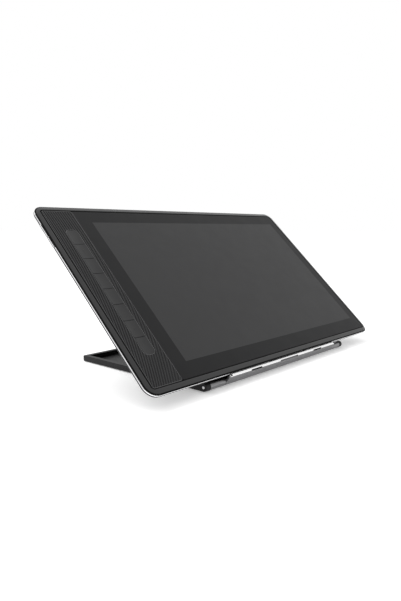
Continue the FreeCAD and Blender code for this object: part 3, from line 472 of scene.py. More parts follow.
class Shape:
    """One piece in the making: a bmesh in millimetres, in a local frame.

    Attributes:
        corner_steps: segments of a rounded corner.
        round_steps: segments of a full circle.
        edge_steps: segments of a rounded edge.
        sharp: the angle from which an edge is rounded, in radians.
        crease: the angle from which an edge is shaded as sharp, in radians.
        apart: how far apart two outlines stand while they are joined.
    """

    corner_steps = 8
    round_steps = 48
    edge_steps = 3
    sharp = math.radians(30)
    crease = math.radians(50)
    apart = 20.0

    def __init__(self) -> None:
        """Starts an empty shape."""
        self.mesh = bmesh.new()

    def block(self, box: Box) -> "Shape":
        """Adds a closed block.

        Args:
            box: its corners.

        Returns:
            The shape itself.
        """
        stretch = Matrix.Diagonal((*box.size, 1.0))
        bmesh.ops.create_cube(self.mesh, size=1.0, matrix=Matrix.Translation(box.middle) @ stretch)
        return self

    def slab(self, box: Box, radius: float, axis: Axis = Axis.Z) -> "Shape":
        """Adds a block with the edges along one axis rounded.

        Args:
            box: its corners.
            radius: the rounding.
            axis: the axis that the rounded edges run along.

        Returns:
            The shape itself.
        """
        before = set(self.mesh.edges)
        self.block(box)
        along = list(Axis).index(axis)
        chosen = [edge for edge in self.mesh.edges if edge not in before
                  and abs((edge.verts[0].co - edge.verts[1].co).normalized()[along]) > FACING]
        self.bevel(chosen, radius, self.corner_steps)
        return self

    def rod(self, axis: Axis, middle: Sequence[float], radius: float, long: float,
            tip: float = 0.0) -> "Shape":
        """Adds a cylinder, chamfered at both ends.

        Args:
            axis: the axis it runs along.
            middle: its centre.
            radius: its radius.
            long: its length.
            tip: the chamfer at its ends.

        Returns:
            The shape itself.
        """
        place = Matrix.Translation(middle) @ axis.value
        made = bmesh.ops.create_cone(self.mesh, cap_ends=True, segments=self.round_steps, radius1=radius,
                                     radius2=radius, depth=long, matrix=place)
        if tip:
            ends = dict.fromkeys(edge for vertex in made["verts"] for edge in vertex.link_edges
                                 if any(len(face.verts) == self.round_steps for face in edge.link_faces))
            self.bevel(list(ends), tip, self.edge_steps)
        return self

    def tube(self, middle: Sequence[float], outer: float, inner: float, long: float, tip: float) -> "Shape":
        """Adds a ring along x by spinning its section once round.

        Args:
            middle: its centre.
            outer: its outer radius.
            inner: its bore's radius.
            long: its length.
            tip: the chamfer at its ends.

        Returns:
            The shape itself.
        """
        end, centre = long / 2, Vector(middle)
        section = [(-end, inner), (end, inner), (end, outer - tip), (end - tip, outer), (tip - end, outer),
                   (-end, outer - tip)]
        points = [self.mesh.verts.new(centre + Vector((x, 0.0, radius))) for x, radius in section]
        edges = [self.mesh.edges.new((point, points[index - 1])) for index, point in enumerate(points)]
        bmesh.ops.spin(self.mesh, geom=points + edges, cent=centre, axis=(1.0, 0.0, 0.0), angle=math.tau,
                       steps=self.round_steps, use_merge=True)
        self.tidy()
        return self

    def outline(self, box: Box, ring: Ring) -> bmesh.types.BMFace:
        """Adds a flat face with rounded corners.

        Args:
            box: the outline, of which x and y are used.
            ring: its inset, level and corner radius.

        Returns:
            The face.
        """
        made = bmesh.ops.create_grid(self.mesh, x_segments=1, y_segments=1, size=0.5)["verts"]
        inner = box.shrunk(ring.inset, ring.inset)
        place = Matrix.Translation((inner.middle.x, inner.middle.y, ring.level))
        stretch = Matrix.Diagonal((inner.size.x, inner.size.y, 1.0, 1.0))
        bmesh.ops.transform(self.mesh, verts=made, matrix=place @ stretch)
        bmesh.ops.bevel(self.mesh, geom=made, offset=ring.radius, offset_type="OFFSET", affect="VERTICES",
                        segments=self.corner_steps, profile=0.5, material=-1)
        return next(face for face in self.mesh.faces if len(face.verts) == 4 * (self.corner_steps + 1)
                    and all(abs(vertex.co.z - ring.level) < TOUCH for vertex in face.verts)
                    and all(len(edge.link_faces) == 1 for edge in face.edges))

    def loop(self, box: Box, ring: Ring, capped: bool = False) -> list[bmesh.types.BMEdge]:
        """Adds a rounded outline.

        Args:
            box: the outline, of which x and y are used.
            ring: its inset, level and corner radius.
            capped: whether the face inside it stays.

        Returns:
            The outline's edges.
        """
        face = self.outline(box, ring)
        edges = list(face.edges)
        if not capped:
            bmesh.ops.delete(self.mesh, geom=[face], context="FACES_ONLY")
        return edges

    def hexagon(self, middle: Sequence[float], radius: float, long: float) -> "Shape":
        """Adds a six-sided post along z."""
        bmesh.ops.create_cone(self.mesh, cap_ends=True, segments=6, radius1=radius, radius2=radius,
                              depth=long, matrix=Matrix.Translation(middle))
        return self

    def bridge(self, outlines: Sequence[tuple[Box, Ring]], closed: bool) -> list[list[bmesh.types.BMFace]]:
        """Joins rounded outlines one after another.

        They are joined while they stand well apart and are then moved to their levels, because two
        outlines in one plane give the operator no direction to bridge in.

        Args:
            outlines: each outline's box and ring.
            closed: whether the last joins the first; if not, both ends are capped.

        Returns:
            The faces of each joint, in order.
        """
        ends = () if closed else (0, len(outlines) - 1)
        loops = [self.loop(box, ring._replace(level=index * self.apart), index in ends)
                 for index, (box, ring) in enumerate(outlines)]
        points = [{vertex for edge in loop for vertex in edge.verts} for loop in loops]
        following = loops[1:] + loops[:1] if closed else loops[1:]
        joints = [bmesh.ops.bridge_loops(self.mesh, edges=first + second)["faces"]
                  for first, second in zip(loops, following)]
        for group, (_, ring) in zip(points, outlines):
            for vertex in group:
                vertex.co.z = ring.level
        return joints

    def stack(self, box: Box, rings: Sequence[Ring], closed: bool = False) -> "Shape":
        """Joins rounded outlines one after another into a solid.

        Args:
            box: the outline that the rings are set in from.
            rings: the rings in order.
            closed: whether the last ring joins the first, which leaves the middle open.

        Returns:
            The shape itself.
        """
        self.bridge([(box, ring) for ring in rings], closed)
        return self.tidy()

    def tidy(self) -> "Shape":
        """Merges doubled points and turns the faces outwards."""
        bmesh.ops.remove_doubles(self.mesh, verts=self.mesh.verts, dist=TOUCH)
        bmesh.ops.recalc_face_normals(self.mesh, faces=self.mesh.faces)
        return self

    def bevel(self, edges: Sequence[bmesh.types.BMEdge], width: float, steps: int) -> None:
        """Rounds edges."""
        bmesh.ops.bevel(self.mesh, geom=edges, offset=width, offset_type="OFFSET", affect="EDGES",
                        segments=steps, profile=0.5, clamp_overlap=True, material=-1)

    def soften(self, width: float, steps: int = edge_steps,
               chosen: Callable[[bmesh.types.BMEdge], bool] = lambda edge: True) -> "Shape":
        """Rounds the sharp edges that a test picks.

        Args:
            width: the rounding.
            steps: its segments.
            chosen: the test.

        Returns:
            The shape itself.
        """
        edges = [edge for edge in self.mesh.edges if edge.is_manifold
                 and edge.calc_face_angle(0.0) > self.sharp and chosen(edge)]
        self.bevel(edges, width, steps)
        return self

    def split(self, faces: Iterable[bmesh.types.BMFace], point: Sequence[float],
              normal: Sequence[float]) -> None:
        """Cuts faces along a plane, which leaves them in place.

        Args:
            faces: the faces.
            point: a point of the plane.
            normal: its normal.
        """
        parts = dict.fromkeys(part for face in faces for part in (face, *face.edges, *face.verts))
        bmesh.ops.bisect_plane(self.mesh, geom=list(parts), plane_co=point, plane_no=normal, dist=TOUCH)

    def _temporary(self, name: str) -> bpy.types.Object:
        """A short-lived object that holds this shape."""
        data = bpy.data.meshes.new(name)
        self.mesh.to_mesh(data)
        made = bpy.data.objects.new(name, data)
        bpy.context.scene.collection.objects.link(made)
        return made

    def _combine(self, other: "Shape", operation: str) -> "Shape":
        """Runs an exact boolean with another shape, which is used up."""
        target, tool = self._temporary("target"), other._temporary("tool")
        change = target.modifiers.new("combine", "BOOLEAN")
        change.operation, change.solver, change.object = operation, "EXACT", tool
        change.use_self = True
        graph = bpy.context.evaluated_depsgraph_get()
        result = bpy.data.meshes.new_from_object(target.evaluated_get(graph))
        self.mesh.clear()
        self.mesh.from_mesh(result)
        bpy.data.meshes.remove(result)
        for used in (target, tool):
            data = used.data
            bpy.data.objects.remove(used)
            bpy.data.meshes.remove(data)
        other.mesh.free()
        bmesh.ops.dissolve_degenerate(self.mesh, dist=TOUCH, edges=self.mesh.edges)
        return self.tidy()

    def carve(self, other: "Shape") -> "Shape":
        """Removes another shape from this one."""
        return self._combine(other, "DIFFERENCE")

    def join(self, other: "Shape") -> "Shape":
        """Adds another shape to this one as one solid."""
        return self._combine(other, "UNION")

    def paint(self, index: int, chosen: Callable[[bmesh.types.BMFace], bool]) -> "Shape":
        """Gives the faces that a test picks another of the piece's finishes."""
        for face in self.mesh.faces:
            if chosen(face):
                face.material_index = index
        return self

    def piece(self, name: str, place: LocalFrame, body: str, *finishes: Finish,
              replaces: Sequence[str] = ()) -> bpy.types.Object:
        """Makes the finished object, rides it and hides the CAD nodes it stands for.

        Args:
            name: the piece's name.
            place: the frame it was drawn in.
            body: the body it rides on.
            finishes: its finishes; the first is the record's slot.
            replaces: the CAD nodes.

        Returns:
            The object.
        """
        data = bpy.data.meshes.new(name)
        self.mesh.to_mesh(data)
        self.mesh.free()
        data.transform(place.matrix)
        data.shade_smooth()
        data.set_sharp_from_angle(angle=self.crease)
        made = bpy.data.objects.new(name, data)
        bpy.context.scene.collection.objects.link(made)
        for finish in finishes:
            data.materials.append(finish.material())
        even = made.modifiers.new("even_normals", "WEIGHTED_NORMAL")
        even.keep_sharp = True
        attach(made, body)
        if replaces:
            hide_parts(*replaces)
        LOG.info("%s rides on %s with %d faces", name, body, len(data.polygons))
        return made


@dataclass(frozen=True)
class SocketScrew:
    """A kind of screw that stands head down, with a hexagonal socket in its head.

    Attributes:
        head: height of the head.
        head_radius: its radius.
        shank_radius: radius of the shank.
        socket: radius of the socket.
        head_edge: chamfer of the head.
        point_edge: chamfer of the shank's end.
    """

    head: float
    head_radius: float
    shank_radius: float
    socket: float
    head_edge: float = 0.15
    point_edge: float = 0.1

    def shape(self, boxes: Sequence[Box]) -> Shape:
        """Makes screws of this kind.

        Args:
            boxes: the room that each takes.

        Returns:
            One shape that holds them all.
        """
        screws, sockets = Shape(), Shape()
        for box in boxes:
            where, low = (box.middle.x, box.middle.y), box.low.z
            shank = box.size.z - self.head
            shank_middle = box.middle.z + self.head / 2
            screws.rod(Axis.Z, (*where, low + self.head / 2), self.head_radius, self.head, self.head_edge)
            screws.rod(Axis.Z, (*where, shank_middle), self.shank_radius, shank, self.point_edge)
            sockets.hexagon((*where, low), self.socket, self.head)
        return screws.carve(sockets)


# The tablet


@dataclass
class Casing:
    """The bezel, the bright band, the rear shell and what is fixed to them.

    Attributes:
        corner: radius of the outline's corners.
        rim: width of the bezel.
        chamfer: width of the chamfer at its outer edge, painted black as painted shade.
        slope: how far in its flat front starts.
        slope_deep: height of the shoulder between the chamfer and the front.
        window: radius of the bezel's inner corners.
        step: width of the step round the glass, painted black as painted shade.
        edge: height of the bezel's two edges that are painted black as painted shade.
        trim_bevel: the band's bevel.
        trim_step: height of the step over the bevel, painted black as painted shade.
        trim_wide: the band's width.
        wall: the rear shell's wall.
        play: the gap round a side key or a screw's head.
        shell_inset: how far the shell's back lies in from its outline.
        shell_side: height of its upright side.
        shell_edge: rounding of its edges behind.
        boss: radius of a screw's post.
        screw_head: radius of a screw's head.
        screw: radius of its shank.
        hex_socket: radius of the head's socket.
        foot_edge: rounding of a rubber foot.
    """

    corner: float = 13.0
    rim: float = 7.2
    chamfer: float = 1.4
    slope: float = 5.2
    slope_deep: float = 0.75
    window: float = 2.5
    step: float = 1.0
    edge: float = 0.3
    trim_bevel: float = 0.6
    trim_step: float = 0.5
    trim_wide: float = 3.0
    wall: float = 1.2
    play: float = 0.15
    shell_inset: float = 8.8
    shell_side: float = 0.6
    shell_edge: float = 0.5
    boss: float = 3.1
    screw_head: float = 2.1
    screw: float = 1.0
    hex_socket: float = 1.0
    foot_edge: float = 0.5

    def build(self) -> None:
        """Makes the casing's pieces."""
        self.bezel()
        self.trim()
        self.rear_shell()
        self.feet_and_screws()

    def bezel(self) -> None:
        """The rim: an edge and chamfer painted black as painted shade, a sloping shoulder, a flat front and a step
        inside painted black as painted shade.
        """
        box = FACE.box("front_bezel")
        low, high = box.low.z, box.high.z
        rings = [Ring(0.0, low, self.corner),
                 Ring(0.0, low + self.edge, self.corner),
                 Ring(self.chamfer, high - self.slope_deep, self.corner - self.chamfer),
                 Ring(self.slope, high, self.corner - self.slope),
                 Ring(self.rim - self.step, high, self.window + self.step),
                 Ring(self.rim, high - self.edge, self.window),
                 Ring(self.rim, low, self.window)]
        shape = Shape()
        joints = shape.bridge([(box, ring) for ring in rings], closed=True)
        shaded_edge, shaded_chamfer, _, _, shaded_step, *_ = joints
        # the outer edge, the chamfer and the step round the glass are painted black as painted shade
        for face in shaded_edge + shaded_chamfer + shaded_step:
            face.material_index = 1
        shape.tidy()
        shape.piece("bezel", FACE, "tablet", BEZEL, SHADE_BLACK, replaces=["front_bezel"])

    def trim(self) -> None:
        """The band with its bright bevel, its side painted dark as painted shade and the step over the bevel
        painted black as painted shade, cut through for the side keys.
        """
        box = FACE.box("trim_frame")
        low, high, wide, bevel = box.low.z, box.high.z, self.trim_wide, self.trim_bevel
        shoulder = high - self.trim_step
        rings = [Ring(0.0, low, self.corner),
                 Ring(0.0, shoulder - bevel, self.corner),
                 Ring(bevel, shoulder, self.corner - bevel),
                 Ring(bevel, high, self.corner - bevel),
                 Ring(wide, high, self.corner - wide),
                 Ring(wide, low, self.corner - wide)]
        shape = Shape().stack(box, rings, closed=True)
        # the band's side is painted dark and the step over the bevel black, both as painted shade
        shape.paint(1, lambda face: face.calc_center_median().z < shoulder - bevel)
        shape.paint(2, lambda face: face.calc_center_median().z > shoulder + TOUCH)
        for node in ("power_key", "brightness_rocker"):
            key = FACE.box(node)
            slot = Box(Vector((box.low.x - OVERSHOOT, key.low.y, low - OVERSHOOT)),
                       Vector((box.low.x + wide + OVERSHOOT, key.high.y, key.high.z + self.play)))
            shape.carve(Shape().block(slot))
        shape.piece("side_band", FACE, "tablet", TRIM, SHADED_BAND_SIDE, SHADE_BLACK, replaces=["trim_frame"])

    def rear_shell(self) -> None:
        """The tray behind, with sloping sides, recesses for feet and screws, and the socket window."""
        box = FACE.box("rear_shell")
        low, high = box.low.z, box.high.z
        corner = self.corner - (FACE.box("trim_frame").high.x - box.high.x)
        waist = high - self.shell_side
        rings = [Ring(self.shell_inset, low, corner - self.shell_inset),
                 Ring(0.0, waist, corner),
                 Ring(0.0, high, corner),
                 Ring(self.wall, high, corner - self.wall),
                 Ring(self.wall, waist + self.wall / 2, corner - self.wall),
                 Ring(self.shell_inset + self.wall, low + self.wall, corner - self.shell_inset)]
        shape = Shape().stack(box, rings)
        shape.soften(self.shell_edge, chosen=lambda edge: highest(edge) < waist + TOUCH)
        screws = FACE.solids("rear_screws")
        posts = Shape()
        for screw in screws:
            posts.rod(Axis.Z, (screw.middle.x, screw.middle.y, (low + high + self.wall) / 2), self.boss,
                      high - low - self.wall)
        shape.join(posts)
        holes = Shape()
        for screw in screws:
            where = (screw.middle.x, screw.middle.y)
            holes.rod(Axis.Z, (*where, low), self.screw_head + self.play, 2 * self.wall)
        for foot in FACE.solids("rear_feet"):
            sunk = foot.high.z - low
            holes.rod(Axis.Z, (foot.middle.x, foot.middle.y, low), foot.size.x / 2, 2 * sunk)
        window = FACE.box("port_bezel")
        holes.block(Box(window.low, window.high + Vector((self.corner, 0.0, 0.0))))
        shape.carve(holes)
        shape.piece("back_shell", FACE, "tablet", SHELL, replaces=["rear_shell"])

    def feet_and_screws(self) -> None:
        """Rounded rubber feet, and screws with a hexagonal socket."""
        feet = Shape()
        for foot in FACE.solids("rear_feet"):
            feet.rod(Axis.Z, foot.middle, foot.size.x / 2, foot.size.z, self.foot_edge)
        feet.piece("back_feet", FACE, "tablet", RUBBER, replaces=["rear_feet"])
        kind = SocketScrew(self.wall - self.play, self.screw_head, self.screw, self.hex_socket)
        screws = kind.shape(FACE.solids("rear_screws"))
        screws.piece("back_screws", FACE, "tablet", SCREW, replaces=["rear_screws"])


@dataclass
class Screen:
    """The etched glass, whose border is printed black behind.

    Attributes:
        corner: radius of the glass's corners.
        module_side: how far the display's layers reach past what it shows.
        edge: the ground edge of the glass.
    """

    corner: float = 2.2
    module_side: float = 4.0
    edge: float = 0.25

    def build(self) -> None:
        """Makes the glass, with the display's area as a face of its own."""
        box = FACE.box("cover_glass")
        shown = FACE.box("backlight").shrunk(self.module_side, self.module_side)
        shape = Shape().slab(box, self.corner)
        shape.soften(self.edge, 2, lambda edge: lowest(edge) > box.middle.z)
        for normal in ((1.0, 0.0, 0.0), (0.0, 1.0, 0.0)):
            for corner in shown:
                shape.split([face for face in shape.mesh.faces if face.normal.z > FACING], corner, normal)
        shape.paint(1, lambda face: face.normal.z > FACING
                    and shown.low.x < face.calc_center_median().x < shown.high.x
                    and shown.low.y < face.calc_center_median().y < shown.high.y)
        shape.piece("face_glass", FACE, "tablet", GLASS_BORDER, GLASS_SCREEN, replaces=["cover_glass"])


@dataclass
class KeyStrip:
    """The ribbed plate and the eight dished keys.

    Attributes:
        rib_pitch: distance between ribs.
        rib_deep: height of a rib.
        rib_angle: the ribs' slant, in degrees from x.
        border: the plain edge round the ribs.
        plate_corner: radius of the plate's corners.
        key_corner: radius of the strip's two ends.
        key_gap: the gap between the keys and the plate.
        key_lip: how far a key's holding lip reaches past its cap.
        dish: depth of the keys' hollow.
        dish_steps: strips that the hollow is made of.
        edge: rounding of a key's edges.
        bump: radius of a finding bump.
        bump_pitch: distance between bumps.
        bump_high: their height.
        bump_steps: segments of a bump's ball from pole to pole.
        bumps: the places of the bumps on a key, in pitches from its middle.
    """

    rib_pitch: float = 1.6
    rib_deep: float = 0.4
    rib_angle: float = 47.0
    border: float = 0.5
    plate_corner: float = 2.2
    key_corner: float = 5.0
    key_gap: float = 0.2
    key_lip: float = 0.8
    dish: float = 0.45
    dish_steps: int = 9
    edge: float = 0.28
    bump: float = 0.6
    bump_pitch: float = 1.8
    bump_high: float = 0.3
    bump_steps: int = 8
    bumps: ClassVar[dict[int, tuple[int, ...]]] = {2: (-1, 0, 1), KEY_COUNT - 1: (0,)}

    def build(self) -> None:
        """Makes the plate and the keys."""
        self.plate()
        for number in range(1, KEY_COUNT + 1):
            self.key(number)

    def window(self) -> Box:
        """The outline of the opening that the keys stand in.

        Returns:
            A box, of which x and y count.
        """
        first, last = FACE.box("key_1"), FACE.box(f"key_{KEY_COUNT}")
        inset = self.key_lip - self.key_gap
        low = Vector((first.low.x + inset, last.low.y - self.key_gap, 0.0))
        return Box(low, Vector((first.high.x - inset, first.high.y + self.key_gap, 0.0)))

    def plate(self) -> None:
        """The plate: a frame round the keys whose face is cut into slanting ribs."""
        box, hole = FACE.box("key_plate"), self.window()
        low, high = box.low.z, box.high.z
        end = self.key_corner + self.key_gap
        outer = [Ring(0.0, low, self.plate_corner), Ring(0.0, high, self.plate_corner),
                 Ring(self.border, high, self.plate_corner - self.border)]
        inner = [Ring(-self.border, high, end + self.border), Ring(0.0, high, end), Ring(0.0, low, end)]
        shape = Shape()
        outlines = [(box, ring) for ring in outer] + [(hole, ring) for ring in inner]
        _, outer_border, field, inner_border, *_ = shape.bridge(outlines, closed=True)
        bmesh.ops.recalc_face_normals(shape.mesh, faces=shape.mesh.faces)
        self.ribs(shape, field, box)
        shape.tidy()
        borders = outer_border + inner_border
        # the sunk floors between the ribs are painted near-black as painted shade
        shape.paint(1, lambda face: abs(face.normal.z) > FACING
                    and low + TOUCH < face.calc_center_median().z < high - TOUCH)
        shape.paint(2, lambda face: face in borders)
        shape.piece("key_plate_ribbed", FACE, "tablet", PLATE, SHADE_BLACK, PLATE_EDGE, replaces=["key_plate"])

    def ribs(self, shape: Shape, field: list[bmesh.types.BMFace], box: Box) -> None:
        """Cuts the field into slanting strips and sinks every other one.

        Args:
            shape: the plate.
            field: the faces to cut.
            box: the plate's box.
        """
        angle = math.radians(self.rib_angle)
        across = Vector((-math.sin(angle), math.cos(angle), 0.0))
        places = [across.dot(Vector((x, y, 0.0)))
                  for x in (box.low.x, box.high.x) for y in (box.low.y, box.high.y)]
        step = self.rib_pitch / 2
        for face in field:
            face.material_index = 1
        for line in range(math.ceil(min(places) / step), math.floor(max(places) / step) + 1):
            strips = [face for face in shape.mesh.faces if face.material_index]
            shape.split(strips, across * (line * step), across)
        strips = [face for face in shape.mesh.faces if face.material_index]
        sunk = [face for face in strips if math.floor(across.dot(face.calc_center_median()) / step) % 2]
        made = bmesh.ops.extrude_face_region(shape.mesh, geom=sunk)["geom"]
        floors = [part for part in made if isinstance(part, bmesh.types.BMVert)]
        bmesh.ops.delete(shape.mesh, geom=[face for face in sunk if face.is_valid], context="FACES")
        bmesh.ops.translate(shape.mesh, verts=floors, vec=(0.0, 0.0, -self.rib_deep))
        shape.paint(0, lambda face: True)

    def key(self, number: int) -> None:
        """One key: its dished cap, its finding bumps and the lip that holds it under the plate.

        Args:
            number: 1 at the top.
        """
        node = f"key_{number}"
        lips = FACE.box(node)
        box = lips.shrunk(self.key_lip)
        low, top = FACE.box("key_plate").low.z, FACE.box("key_1").high.z
        cap = Box(Vector((box.low.x, box.low.y, low)), Vector((box.high.x, box.high.y, top)))
        shape = Shape().block(cap)
        self.round_corners(shape, {1: cap.high.y, KEY_COUNT: cap.low.y}.get(number))
        shape.soften(self.edge, chosen=lambda edge: lowest(edge) > top - TOUCH)
        self.hollow(shape, cap)
        for step in self.bumps.get(number, ()):
            centre = Vector((cap.middle.x, cap.middle.y + step * self.bump_pitch, top - self.dish))
            dome = Matrix.Translation(centre) @ Matrix.Diagonal((self.bump, self.bump, self.bump_high, 1.0))
            bmesh.ops.create_uvsphere(shape.mesh, u_segments=2 * self.bump_steps, v_segments=self.bump_steps,
                                      radius=1.0, matrix=dome)
        seat = Box(Vector((lips.low.x, cap.low.y + self.key_corner, low - self.key_lip)),
                   Vector((lips.high.x, cap.high.y - self.key_corner, low - TOUCH)))
        shape.slab(seat, self.edge)
        shape.piece(f"key_cap_{number}", FACE, node, KEY, replaces=[node])

    def round_corners(self, shape: Shape, end: float | None) -> None:
        """Rounds a cap's upright edges, widely at the strip's end.

        Args:
            shape: the cap.
            end: the y of the strip's end, or None on a key inside the strip.
        """
        def at_end(edge: bmesh.types.BMEdge) -> bool:
            """Whether an edge stands at the strip's end."""
            return end is not None and all(abs(vertex.co.y - end) < TOUCH for vertex in edge.verts)

        others = [edge for edge in shape.mesh.edges if upright(edge) and not at_end(edge)]
        shape.bevel(others, self.edge, shape.edge_steps)
        wide = [edge for edge in shape.mesh.edges if upright(edge) and at_end(edge)]
        if wide:
            shape.bevel(wide, self.key_corner, shape.corner_steps)

    def hollow(self, shape: Shape, cap: Box) -> None:
        """Cuts a cap into strips and lowers them along a curve across it.

        Args:
            shape: the cap.
            cap: its box.
        """
        half = cap.size.x / 2
        for step in range(1, self.dish_steps):
            where = cap.middle + Vector((half * (2 * step / self.dish_steps - 1), 0.0, 0.0))
            shape.split(shape.mesh.faces, where, (1.0, 0.0, 0.0))
        for vertex in shape.mesh.verts:
            share = (vertex.co.x - cap.middle.x) / half
            if vertex.co.z > cap.low.z + TOUCH:
                vertex.co.z -= self.dish * max(0.0, 1.0 - share * share)


@dataclass
class SideKeys:
    """The power key and the brightness rocker in the left band.

    Attributes:
        lip: thickness of the holding lip inside the band.
        lip_side: how far the lip reaches past the cap at each end.
        chamfer: the bright chamfer that carries the band's line past the keys.
        edge: rounding of the other outer edges.
        outward: the part of a normal from which a face is taken for an outer one.
        notch: depth of the rocker's waist.
        notch_radius: its radius.
    """

    lip: float = 0.6
    lip_side: float = 0.3
    chamfer: float = 0.8
    edge: float = 0.2
    outward: float = 0.9
    notch: float = 0.2
    notch_radius: float = 5.0

    def build(self) -> None:
        """Makes both keys."""
        for node, waist in (("power_key", False), ("brightness_rocker", True)):
            box = FACE.box(node)
            cap = Box(box.low + Vector((0.0, self.lip_side, 0.0)),
                      box.high - Vector((self.lip, self.lip_side, 0.0)))
            shape = Shape().block(cap)
            shape.soften(self.chamfer, 1, lambda edge: lowest(edge) > cap.high.z - TOUCH
                         and all(vertex.co.x < cap.low.x + TOUCH for vertex in edge.verts))
            shape.soften(self.edge, 2, lambda edge: lowest(edge) < cap.middle.z
                         and all(vertex.co.x < cap.middle.x for vertex in edge.verts))
            if waist:
                where = (cap.low.x - self.notch_radius + self.notch, cap.middle.y, cap.middle.z)
                shape.carve(Shape().rod(Axis.Z, where, self.notch_radius, cap.size.z + OVERSHOOT))
            shape.block(Box(Vector((cap.high.x, box.low.y, box.low.z)), box.high))
            # the caps' outer faces take the band side's dark paint as painted shade
            shape.paint(1, lambda face: face.normal.x < -self.outward)
            shape.piece(f"{node}_cap", FACE, node, SIDE_KEY, SHADED_BAND_SIDE, replaces=[node])


@dataclass
class Sockets:
    """The two sockets and the insert that frames them.

    Attributes:
        wall: the metal's thickness.
        slip: the room between a metal shell and its mouth in the insert.
        tongue_wide: width of the contact tongue.
        tongue_thick: its thickness.
        tongue_back: how far it ends behind the mouth.
        edge: rounding of the tongue and the insert.
    """

    wall: float = 0.3
    slip: float = 0.02
    tongue_wide: float = 6.6
    tongue_thick: float = 0.7
    tongue_back: float = 0.9
    edge: float = 0.3

    def build(self) -> None:
        """Makes the insert with its rounded mouths, then each socket."""
        whole = FACE.box("port_bezel")
        insert = Shape().block(whole).soften(self.edge, 2)
        for node in ("usb_socket_lower", "usb_socket_upper"):
            box = FACE.box(node)
            reach = Vector((OVERSHOOT, 0.0, 0.0))
            mouth = Box(Vector((whole.low.x, box.low.y, box.low.z)) - reach, box.high + reach)
            insert.carve(Shape().slab(mouth, box.size.z / 2 - TOUCH, Axis.X))
            self.socket(node, box)
        insert.piece("socket_insert", FACE, "tablet", INNER, replaces=["port_bezel"])

    def socket(self, node: str, box: Box) -> None:
        """One socket: a rounded metal shell with a tongue inside.

        Args:
            node: the CAD node.
            box: its box.
        """
        outer = box.shrunk(y=self.slip, z=self.slip)
        shell = Shape().slab(outer, outer.size.z / 2 - 2 * self.slip, Axis.X)
        hollow = Box(box.low + Vector((self.wall,) * 3),
                     box.high + Vector((OVERSHOOT, -self.wall, -self.wall)))
        shell.carve(Shape().slab(hollow, hollow.size.z / 2 - TOUCH, Axis.X))
        half = Vector((0.0, self.tongue_wide / 2, self.tongue_thick / 2))
        tongue = Box(Vector((box.low.x + self.wall, box.middle.y, box.middle.z)) - half,
                     Vector((box.high.x - self.tongue_back, box.middle.y, box.middle.z)) + half)
        shell.slab(tongue, self.edge, Axis.X)
        seen = Box(tongue.low + Vector((TOUCH, -TOUCH, -TOUCH)),
                   tongue.high + Vector((OVERSHOOT, TOUCH, TOUCH)))
        shell.paint(1, lambda face: seen.holds(face.calc_center_median()))
        shell.piece(f"{node}_shell", FACE, "tablet", SOCKET, SWITCH, replaces=[node])


# The stand


@dataclass
class Base:
    """The tray on the table with its ears, rubber strips, detent rack and hinge pin.

    Attributes:
        rail: width of the rails.
        rail_top: their height above the table.
        floor: thickness of the tray's floor.
        floor_start: where the floor begins behind the hinge.
        edge: rounding of the rails.
        ear: radius of the round ears.
        pin_tip: chamfer of the hinge pin's ends.
        foot_corner: radius of a rubber strip's corners.
        foot_edge: rounding of its edges.
        rib_wide: width of the rack's ribs.
        rib_pitch: distance between them.
        ribs: their number.
        sheet: thickness of the rack's sheet.
    """

    rail: float = 6.0
    rail_top: float = 7.7
    floor: float = 1.0
    floor_start: float = 6.5
    edge: float = 0.6
    ear: float = 4.2
    pin_tip: float = 0.4
    foot_corner: float = 3.0
    foot_edge: float = 0.2
    rib_wide: float = 1.4
    rib_pitch: float = 9.0
    ribs: int = 5
    sheet: float = 0.2

    def build(self) -> None:
        """Makes the base's pieces."""
        self.tray()
        self.strips()
        self.rack()
        self.pin()

    def tray(self) -> None:
        """Two side rails with round ears, a rear rail and a thin floor."""
        box = TABLE.box("base_tray")
        left, low, right, back = box.low.x, box.low.z, box.high.x, box.high.y
        inside = self.rail / 2
        floor = Box(Vector((left + inside, self.floor_start, low)),
                    Vector((right - inside, back - inside, low + self.floor)))
        shape = Shape().block(floor)
        rear = Box(Vector((left, back - self.rail, low)), Vector((right, back, self.rail_top)))
        shape.join(Shape().block(rear).soften(self.edge))
        for side in (left, right - self.rail):
            rail = Box(Vector((side, 0.0, low)), Vector((side + self.rail, back, self.rail_top)))
            shape.join(Shape().block(rail).soften(self.edge))
            middle = (side + inside, 0.0, HINGE.z / MM)
            shape.join(Shape().rod(Axis.X, middle, self.ear, self.rail, self.edge))
        pin = TABLE.box("hinge_pin")
        shape.carve(Shape().rod(Axis.X, pin.middle, pin.size.z / 2, pin.size.x + OVERSHOOT))
        shape.piece("tray", TABLE, "base", STAND, replaces=["base_tray"])

    def strips(self) -> None:
        """The rubber strips under the tray."""
        shape = Shape()
        for strip in TABLE.solids("base_feet"):
            shape.slab(strip, self.foot_corner)
        shape.soften(self.foot_edge, 2)
        shape.piece("base_strips", TABLE, "base", RUBBER, replaces=["base_feet"])

    def rack(self) -> None:
        """A sheet with ribs that the strut's foot drops between, the first half a pitch from its front."""
        box = TABLE.box("detent_rack")
        sheet = Box(box.low, Vector((box.high.x, box.high.y, box.low.z + self.sheet)))
        shape = Shape().slab(sheet, self.rib_wide)
        for index in range(self.ribs):
            place = box.low.y + (index + 0.5) * self.rib_pitch
            rib = Shape().block(Box(Vector((box.low.x, place - self.rib_wide / 2, box.low.z)),
                                    Vector((box.high.x, place + self.rib_wide / 2, box.high.z))))
            shape.join(rib.soften(self.sheet, chosen=lambda edge: lowest(edge) > box.high.z - TOUCH))
        shape.piece("rack", TABLE, "base", NYLON, replaces=["detent_rack"])

    def pin(self) -> None:
        """The hinge pin with its chamfered bright ends."""
        box = TABLE.box("hinge_pin")
        shape = Shape().rod(Axis.X, box.middle, box.size.z / 2, box.size.x, self.pin_tip)
        shape.piece("pin", TABLE, "base", STEEL, replaces=["hinge_pin"])


